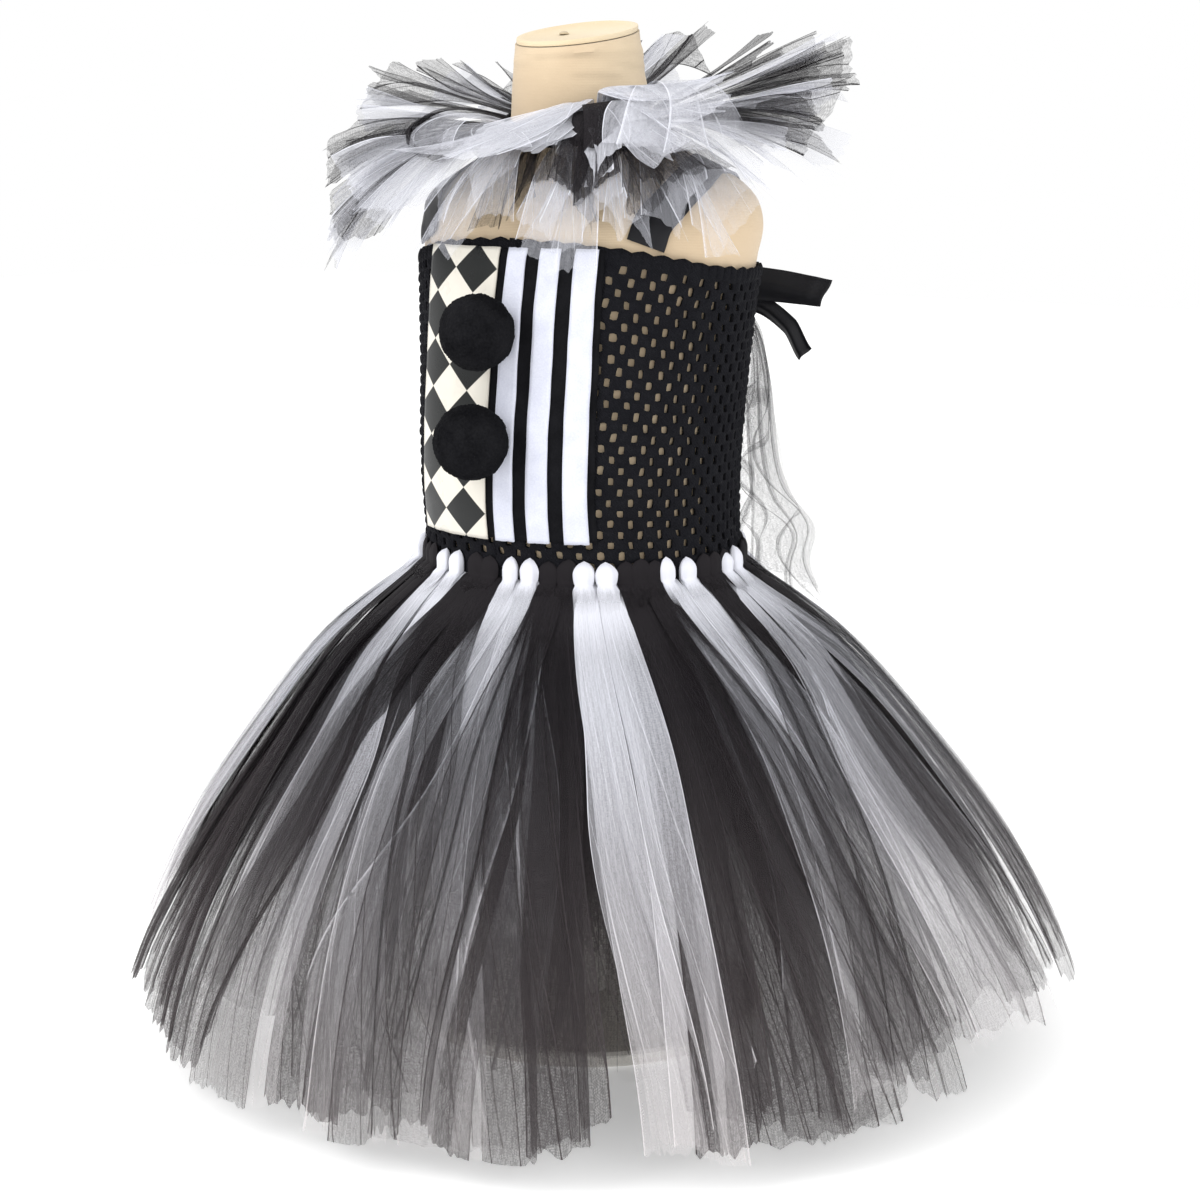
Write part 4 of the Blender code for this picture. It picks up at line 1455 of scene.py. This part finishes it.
    def build(self) -> None:
        """Builds the white groups and the black ones between them."""
        draw = random.Random(self.seed)
        for index, azimuth in enumerate(self.white_azimuths):
            after = self.white_azimuths[(index + 1) % len(self.white_azimuths)]
            spacing = (after - azimuth) % 360
            half = spacing / 2 - self.white_half
            self.build_group(f"skirt_white_{index + 1:02d}", azimuth, self.white_half,
                             self.white_strips, WHITE, draw)
            self.build_group(f"skirt_black_{index + 1:02d}", azimuth + spacing / 2, half,
                             max(2, round(half / self.black_spacing)), BLACK, draw)

    def build_group(self, node: str, middle: float, half: float, strips: int, net: Net,
                    draw: random.Random) -> None:
        """One group of knotted strips.

        Args:
            node: The solid that it stands for.
            middle: Its middle azimuth.
            half: Half of its share of the round at the hem.
            strips: How many strips it has; each hangs in two thicknesses.
            net: Its colour.
            draw: Source of its differences.
        """
        bm, lobes = bmesh.new(), bmesh.new()
        ends = self.strips.get(node.removeprefix("skirt_")) or self.drawn(middle, half, strips, net, draw)
        for end in ends:
            self.hang(bm, end, net, draw)
        for start in sorted({end.start for end in ends}):
            lean = next(end.via for end in ends if end.start == start) - start
            size = self.puff[net] * (1.12 if node == "skirt_white_03" else draw.uniform(0.84, 1.0))
            size.z = self.puff[net].z
            add_puff(lobes, self.point, start, lean, self.puff_top + draw.uniform(-1, 1) * 0.0012, size, draw)
        inner = self.inner_strips[net]
        for index in range(inner):
            self.line(bm, middle + (half + 4) * (index - 1), draw)
        obj = add_piece(f"{node}_strips", bm, net.finish)
        dress(node)
        knots = add_piece(f"{node}_knots", lobes, net.finish)

    def drawn(self, middle: float, half: float, strips: int, net: Net, draw: random.Random) -> list[Strip]:
        """Ends of a group whose strips fall anyhow."""
        spot = 3.8 if net is WHITE else half * 0.62
        ends = []
        for index in range(strips):
            side = 2 * index / (strips - 1) - 1
            for lift in (6.0, 1.0):
                aim = middle + 0.5 * half * side + draw.uniform(-0.4, 0.4) * half
                ends.append(Strip(middle + spot * side, aim, aim + draw.uniform(-3, 3), draw.uniform(5, 10),
                                  lift + draw.uniform(-3, 3)))
        return ends

    def line(self, bm: Mesh, middle: float, draw: random.Random) -> None:
        """Adds one of the shorter thicknesses that hang inside and keep the skirt dark."""
        layer = Layer(
            middle=middle, half_knot=5.5, half_end=11.0,
            width=self.strip_width[BLACK], length=self.table[-1].run, lift=draw.uniform(-0.016, -0.007),
            depth=0.004, pleats=draw.uniform(1.5, 3.0), phase=draw.random(), swing=draw.uniform(0.5, 1.2),
            sway=draw.uniform(-4, 4), end_slant=draw.uniform(-0.1, 0.1), end_point=draw.uniform(0.0, 0.05),
            short=draw.uniform(0.08, 0.16), dense=34.0, hem_dense=34.0, fade=draw.uniform(0.34, 0.46),
            columns=20, rows=16)
        layer.add(bm, self.point, draw.uniform(0, 30))

    def hang(self, bm: Mesh, end: Strip, net: Net, draw: random.Random) -> None:
        """Adds one end, which leaves its knot at one azimuth and falls to another."""
        white = net is WHITE
        early = 1.3 if end.dense > 1.2 and white else 0.95 if end.half < 5.5 else 0.55
        rise = (self.rise_right * smooth((end.hem - 40) / 50)
                + self.rise_left * smooth((5 - end.hem) / 40))
        layer = Layer(
            middle=end.start, half_knot=3.4 if white else 4.4, half_end=end.half,
            width=self.strip_width[net], length=self.table[-1].run, lift=end.lift * MM,
            depth=draw.uniform(0.0035, 0.0060), pleats=draw.uniform(0.8, 2.4), phase=draw.random(),
            swing=draw.uniform(0.7, 1.5), sway=0.0, end_slant=draw.uniform(-0.09, 0.09),
            end_point=draw.uniform(-0.02, 0.05), short=rise + draw.uniform(0.0, 0.07), dense=end.dense,
            hem_dense=end.hem_dense, near=self.near[net], opening=early)

        def path(azimuth: float, share: float, extra: float) -> Vector:
            upper, lower = (end.via - end.start) * smooth(share * 2.4), end.hem - end.start
            point = self.point(azimuth + mix(upper, lower, smooth(share * 1.5 - 0.5)), share, extra)
            point.z = max(point.z, self.lowest)
            return point
        layer.add(bm, path, draw.uniform(0, 30))


# ------------------------------------------------------------------ the ruff

class RuffReach(NamedTuple):
    """Outline of the upper and the lower tier of the ruff at one azimuth."""

    azimuth: float
    upper_reach: float
    upper_tip: float
    upper_crown: float
    lower_reach: float
    lower_tip: float
    lower_crown: float


class RuffEnd(NamedTuple):
    """One strip end; level runs from 0 in the lower tier to 1 in the upper."""

    azimuth: float
    half: float
    level: float
    reach: float
    net: Net
    dense: float = 1.0
    lean: float = 0.0


class RuffLoop(NamedTuple):
    """One strip that stands up in a fold and comes back to the band."""

    azimuth: float
    half: float
    reach: float
    rise: float
    net: Net


@dataclass
class Ruff:
    """Neck band with strips of black and white tulle that radiate from it."""

    shape: FormShape
    outline: tuple[RuffReach, ...] = table_of(RuffReach, (
        (-56, 0.176, 0.619, 0.610, 0.176, 0.514, 0.594),
        (-22, 0.150, 0.585, 0.606, 0.138, 0.507, 0.586),
        (10, 0.128, 0.566, 0.602, 0.121, 0.513, 0.585),
        (36, 0.126, 0.562, 0.602, 0.124, 0.507, 0.585),
        (62, 0.138, 0.582, 0.605, 0.138, 0.514, 0.590),
        (92, 0.168, 0.624, 0.611, 0.168, 0.532, 0.598),
        (124, 0.180, 0.648, 0.618, 0.181, 0.556, 0.603),
        (165, 0.176, 0.655, 0.622, 0.172, 0.552, 0.603),
        (214, 0.166, 0.650, 0.622, 0.168, 0.548, 0.603),
        (262, 0.172, 0.632, 0.616, 0.174, 0.545, 0.601),
    ))
    upper_start: float = 0.5975
    lower_start: float = 0.5870
    band_bottom: float = 0.5845
    band_top: float = 0.5985
    band_ease: float = 0.0014
    front_sag: float = 0.009
    sag_azimuth: float = -8
    band_wall: float = 0.0016
    clearance: float = 0.0010
    over_shoulder: float = 0.0030
    strip_width: float = 0.046
    strip_length: float = 0.12
    cut_per_degree: float = 0.0024
    least_half: float = 8
    loop_dense: dict[Net, float] = field(default_factory=lambda: {WHITE: 3.0, BLACK: 7.0})
    sectors: int = 8
    tier_turns: dict[str, float] = field(default_factory=lambda: {"upper": 0.0, "lower": 22.5})
    back: tuple[float, float] = (150, 230)
    ends: tuple[RuffEnd, ...] = table_of(RuffEnd, (
        (-112, 9, 1.00, 0.95, BLACK), (-104, 9, 0.50, 0.95, WHITE), (-98, 10, 0.95, 1.00, WHITE),
        (-90, 9, 0.40, 0.98, BLACK), (-88, 9, 0.90, 0.97, BLACK), (-78, 10, 0.75, 1.00, BLACK),
        (-74, 9, 0.20, 0.97, WHITE), (-70, 8, 0.60, 1.00, WHITE), (-62, 9, 0.45, 1.00, BLACK),
        (-60, 9, 0.00, 0.95, WHITE), (-56, 8, 0.35, 0.98, BLACK), (-50, 10, 0.20, 1.00, WHITE),
        (-46, 9, 0.05, 1.00, BLACK), (-38, 9, -0.05, 0.98, WHITE), (-30, 9, 0.10, 0.95, WHITE),
        (-20, 9, 0.30, 0.95, WHITE), (-12, 9, 0.00, 1.00, WHITE), (-4, 10, 0.20, 0.97, WHITE),
        (4, 9, 0.00, 0.90, BLACK), (10, 9, 0.40, 0.75, BLACK), (17, 9, 0.10, 1.00, WHITE),
        (25, 9, 0.00, 1.10, WHITE), (31, 8, 0.20, 0.90, BLACK), (38, 9, 0.10, 1.00, WHITE),
        (46, 9, 0.00, 1.00, WHITE), (55, 7, 0.20, 0.95, BLACK), (62, 10, 0.10, 1.05, WHITE),
        (71, 10, 0.00, 1.08, WHITE), (80, 10, 0.15, 1.00, WHITE), (88, 9, 0.20, 1.00, WHITE),
        (96, 9, 0.35, 1.00, BLACK), (104, 9, 0.52, 1.00, BLACK), (108, 9, 0.10, 0.98, WHITE),
        (112, 9, 0.65, 1.00, WHITE), (118, 9, 0.80, 1.00, BLACK), (124, 8, 0.95, 1.00, BLACK),
        (130, 9, 0.40, 0.97, WHITE), (134, 9, 1.00, 0.98, WHITE), (140, 9, 0.70, 1.00, BLACK),
        (148, 9, 1.00, 0.95, BLACK), (156, 4, 1.06, 0.92, BLACK), (152, 9, 0.30, 0.95, BLACK),
        (-84, 9, 0.05, 1.06, WHITE), (-74, 9, -0.05, 1.06, BLACK), (-66, 9, -0.12, 1.06, WHITE),
        (-54, 9, -0.10, 1.06, WHITE), (30, 8, 0.60, 0.55, WHITE), (-28, 9, 0.60, 0.70, BLACK),
        (40, 8, 0.30, 0.62, BLACK, 3.0), (33, 8, 0.10, 0.80, BLACK, 2.5),
        (48, 15, 0.95, 0.68, WHITE, 3.5, 34), (50, 13, 0.70, 0.76, WHITE, 2.8, 22),
        (47, 13, 0.45, 0.80, WHITE, 2.6, 12), (34, 12, 0.60, 0.62, WHITE, 2.8, -26),
        (28, 13, 0.55, 0.80, WHITE, 2.6, -40), (12, 12, 0.50, 0.82, WHITE, 2.4, -34),
        (40, 8, 0.30, 0.80, WHITE, 2.2, -8), (52, 9, 0.40, 0.90, BLACK, 1.6, 16),
    ))
    loops: tuple[RuffLoop, ...] = table_of(RuffLoop, (
        (62, 16, 0.060, 0.022, WHITE),
        (80, 16, 0.066, 0.024, WHITE),
        (55, 10, 0.045, 0.014, WHITE),
        (43, 6, 0.038, 0.014, BLACK),
        (37, 5, 0.030, 0.010, BLACK),
        (14, 12, 0.035, 0.006, WHITE),
        (-8, 16, 0.050, 0.006, WHITE),
        (-34, 18, 0.060, 0.010, WHITE),
        (-58, 14, 0.060, 0.010, BLACK),
    ))

    def sag(self, azimuth: float) -> float:
        """Metres that the band hangs lower round the front."""
        return self.front_sag * max(math.cos(math.radians(azimuth - self.sag_azimuth)), 0.0) ** 2

    def start_radius(self, azimuth: float, level: float) -> Vector:
        """Level vector from the axis to the band's outside."""
        height = mix(self.lower_start, self.upper_start, level) - self.sag(azimuth)
        base = self.shape.point(azimuth, height, self.band_ease + self.band_wall + self.clearance)
        base.z = 0.0
        return base

    def point(self, azimuth: float, share: float, extra: float, level: float, scale: float) -> Vector:
        """Point on the way out from the band to the outline between the two tiers.

        Args:
            azimuth: Degrees.
            share: Share of the way out.
            extra: Metres lifted off the curve.
            level: 0 for the lower outline, 1 for the upper.
            scale: How far towards the outline the whole way goes.

        Returns:
            The point, which stays above the shoulders.
        """
        reach, tip, crown = (mix(read_round(self.outline, azimuth, f"lower_{column}"),
                                 read_round(self.outline, azimuth, f"upper_{column}"), level)
                             for column in ("reach", "tip", "crown"))
        start = mix(self.lower_start, self.upper_start, min(max(level, 0.0), 1.0)) - self.sag(azimuth)
        crown -= self.sag(azimuth)
        base = self.start_radius(azimuth, min(max(level, 0.0), 1.0))
        inner = base.length
        reach = mix(inner, reach, scale)
        tip = mix(start, tip, scale)
        middle = inner + 0.50 * (reach - inner)
        radius = inner * (1 - share) ** 2 + 2 * middle * share * (1 - share) + reach * share ** 2
        height = start * (1 - share) ** 2 + 2 * crown * share * (1 - share) + tip * share ** 2
        way = base.lerp(direction(azimuth) * inner, share).normalized()
        point = way * radius + Vector((0, 0, height + extra))
        floor = self.shape.shoulder(point.x, point.y)
        if share > 0.02 and floor:
            point.z = max(point.z, floor + self.over_shoulder + 0.3 * max(extra, 0.0))
        return point

    def build(self) -> None:
        """Builds the band, both tiers' strips and the loops."""
        self.build_band()
        draw = random.Random(23)
        for tier, turn in self.tier_turns.items():
            for sector in range(self.sectors):
                first = turn + 360 / self.sectors * sector
                ends = [end for end in self.ends if (end.level >= 0.5) == (tier == "upper")
                        and (end.azimuth - first) % 360 < 360 / self.sectors]
                if not ends or self.back[0] < first < self.back[1]:
                    ends = self.filled(tier, first, draw)
                self.build_sector(f"ruff_{tier}_{sector + 1}", ends, first, draw)

    def filled(self, tier: str, first: float, draw: random.Random) -> list[RuffEnd]:
        """Strip ends at random places of a sector at the back."""
        nets = (BLACK, WHITE, BLACK, WHITE, BLACK)
        level = 1.0 if tier == "upper" else 0.0
        return [RuffEnd(first + 9 * index + draw.uniform(2, 7), draw.uniform(7, 11),
                        level + draw.uniform(-0.4, 0.05) * (2 * level - 1), draw.uniform(0.88, 1.0), net)
                for index, net in enumerate(nets)]

    def build_band(self) -> None:
        """The crocheted band round the neck."""
        def place(u: float, v: float) -> Vector:
            bulge = 0.0006 * math.sin(math.pi * v) + 0.0004 * math.cos(2 * math.pi * (40 * u + 2 * v))
            height = mix(self.band_bottom, self.band_top, v) - self.sag(360 * u)
            return self.shape.point(360 * u, height, self.band_ease + bulge)
        bm = bmesh.new()
        add_grid(bm, 160, 10, place, (0.3, 0.014))
        bmesh.ops.remove_doubles(bm, verts=bm.verts, dist=0.00001)
        turn_outwards(bm, NECK)
        obj = add_piece("neck_band_crochet", bm, YARN)
        add_wall(obj, self.band_wall)
        dress("neck_band")

    def build_sector(self, node: str, ends: list[RuffEnd], first: float, draw: random.Random) -> None:
        """The strip ends and loops that start in one sector of a tier."""
        net_bm = {net: bmesh.new() for net in Net}
        cuts: dict[Net, list[tuple[float, float]]] = {net: [] for net in Net}
        for end in ends:
            width = self.cut_per_degree * end.half
            cuts[end.net] += [(width, self.add_end(net_bm[end.net], end, side, draw)) for side in (-1, 1)]
        for loop in self.loops:
            if "upper" in node and (loop.azimuth - first) % 360 < 360 / self.sectors:
                width = self.cut_per_degree * max(loop.half, self.least_half)
                cuts[loop.net].append((width, self.add_loop(net_bm[loop.net], loop, draw)))
        for net, bm in net_bm.items():
            if not cuts[net]:
                bm.free()
                continue
            obj = add_piece(f"{node}_{net.name.lower()}", bm, net.finish)
            dress(node)
            length = sum(cut[1] for cut in cuts[net])
            width = sum(cut[0] * cut[1] for cut in cuts[net]) / length

    def add_end(self, bm: Mesh, end: RuffEnd, side: int, draw: random.Random) -> float:
        """Adds one strip end, which stands on edge at the sides, and returns its length."""
        flank = smooth((abs(end.azimuth - 24) - 45) / 25)
        tilt = side * draw.uniform(0.10, 0.24) * flank
        half = end.half * mix(1.0, 0.55, flank)
        dense = end.dense * (mix(1.3, 2.0, flank) if end.net is WHITE else 1.2)
        layer = Layer(
            middle=end.azimuth + side * draw.uniform(0, 3), half_knot=3.4, half_end=half,
            width=self.strip_width * 1.3, length=self.strip_length,
            lift=draw.uniform(-0.002, 0.006) + (0.012 if end.dense >= 2 else 0.0),
            depth=draw.uniform(0.003, 0.006), pleats=draw.uniform(0.6, 1.6), phase=draw.random(),
            swing=draw.uniform(0.3, 1.4), sway=end.lean + draw.uniform(-5, 5),
            end_slant=draw.uniform(-0.16, 0.16) * (1 + 1.4 * (1 - flank)),
            end_point=draw.uniform(-0.04, 0.10) + draw.uniform(0.05, 0.30) * (1 - flank),
            short=draw.uniform(0.0, 0.10) + draw.uniform(0, 0.18) * flank, opening=0.75, hem_dense=5.0,
            dense=dense, columns=24, rows=22)

        def path(azimuth: float, share: float, extra: float) -> Vector:
            level = min(end.level + tilt * (azimuth - end.azimuth) / half * smooth(share * 1.4), 1.08)
            turned = azimuth + flank * math.degrees(extra / (0.06 + 0.12 * share))
            return self.point(turned, share, extra * (1 - flank), level, end.reach)
        return layer.add(bm, path, draw.uniform(0, 30))

    def add_loop(self, bm: Mesh, loop: RuffLoop, draw: random.Random) -> float:
        """Adds one strip that rises from the band, turns over and comes back; returns its length."""
        def path(azimuth: float, share: float, extra: float) -> Vector:
            base = self.start_radius(azimuth, 1.0)
            turn = math.pi * 1.15 * share
            out = loop.reach * math.sin(min(turn, math.pi) / 2) ** 1.2
            rise = loop.rise * math.sin(turn) - 0.010 * smooth(share * 1.2)
            height = self.upper_start - self.sag(azimuth) + rise
            point = base + direction(azimuth) * (out + extra) + Vector((0, 0, height))
            floor = self.shape.shoulder(point.x, point.y)
            point.z = max(point.z, floor + self.over_shoulder)
            return point
        dense = self.loop_dense[loop.net]
        layer = Layer(
            middle=loop.azimuth, half_knot=6, half_end=loop.half, width=self.strip_width,
            length=self.strip_length, lift=0.0, depth=0.0060, pleats=draw.uniform(0.6, 1.1),
            phase=draw.random(), swing=0.9, dense=dense, hem_dense=dense, sway=draw.uniform(-3, 3),
            end_slant=draw.uniform(-0.15, 0.15), end_point=0.0, short=0.0, opening=0.6,
            columns=24, rows=24)
        return layer.add(bm, path, draw.uniform(0, 30))


# ------------------------------------------------------------------ studio

@dataclass
class Studio:
    """Pale floor, soft lights and the camera."""

    azimuth: float = 34.0
    distance: float = 1.56
    height: float = 0.595
    tilt: float = 11.4
    lens: float = 72.0
    shift_x: float = 0.01
    key_power: float = 27.0
    fill_power: float = 10.0

    def build(self) -> None:
        """Places everything round the object."""
        self.add_floor()
        self.add_world()
        self.add_light("key", Vector((-0.9, -1.9, 2.1)), 1.5, self.key_power)
        self.add_light("fill", Vector((2.2, -0.9, 1.3)), 1.8, self.fill_power)
        turn = math.radians(self.azimuth)
        camera = bpy.data.cameras.new("view")
        camera.sensor_width = 36.0
        camera.lens = self.lens
        camera.shift_x = self.shift_x
        obj = bpy.data.objects.new("view", camera)
        obj.location = (self.distance * math.sin(turn), -self.distance * math.cos(turn), self.height)
        obj.rotation_euler = (math.radians(90 - self.tilt), 0, turn)
        bpy.context.scene.collection.objects.link(obj)
        bpy.context.scene.camera = obj

    def add_floor(self) -> None:
        """A wide pale floor just under the base."""
        bm = bmesh.new()
        add_grid(bm, 8, 8, lambda u, v: Vector((12 * u - 6, 12 * v - 6, -0.0005)), (12, 12))
        floor = add_piece("studio_floor", bm, FLOOR_PAINT, ride=False)
        glow = floor.data.materials[0].node_tree.nodes["Principled BSDF"].inputs
        glow["Emission Color"].default_value = (1, 1, 1, 1)
        glow["Emission Strength"].default_value = 0.30

    def add_world(self) -> None:
        """White surroundings."""
        world = bpy.data.worlds.new("studio")
        world.use_nodes = True
        background = world.node_tree.nodes["Background"]
        background.inputs["Color"].default_value = (1, 1, 1, 1)
        background.inputs["Strength"].default_value = 1.0
        bpy.context.scene.world = world

    def add_light(self, name: str, place: Vector, size: float, power: float) -> None:
        """One square soft light that faces the object."""
        light = bpy.data.lights.new(name, "AREA")
        light.size = size
        light.energy = power
        obj = bpy.data.objects.new(name, light)
        obj.location = place
        obj.rotation_euler = (Vector((0, 0, 0.35)) - place).to_track_quat("-Z", "Y").to_euler()
        bpy.context.scene.collection.objects.link(obj)


def main() -> None:
    """Builds the object and its surroundings in order."""
    logging.basicConfig(level=logging.INFO, format="%(relativeCreated)d %(name)s %(message)s")
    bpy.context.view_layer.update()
    shape = FormShape()
    for builder in (DressForm(shape), Bodice(shape), Panel(shape), Pompoms(shape), Ribbons(shape),
                    BackVeil(shape), Skirt(shape), Ruff(shape), Studio()):
        builder.build()
    scene = bpy.context.scene
    scene.view_settings.view_transform = "Standard"
    scene.cycles.transparent_max_bounces = 20
    scene.cycles.max_bounces = 3
    scene.cycles.diffuse_bounces = 1


if __name__ == "__main__":
    main()
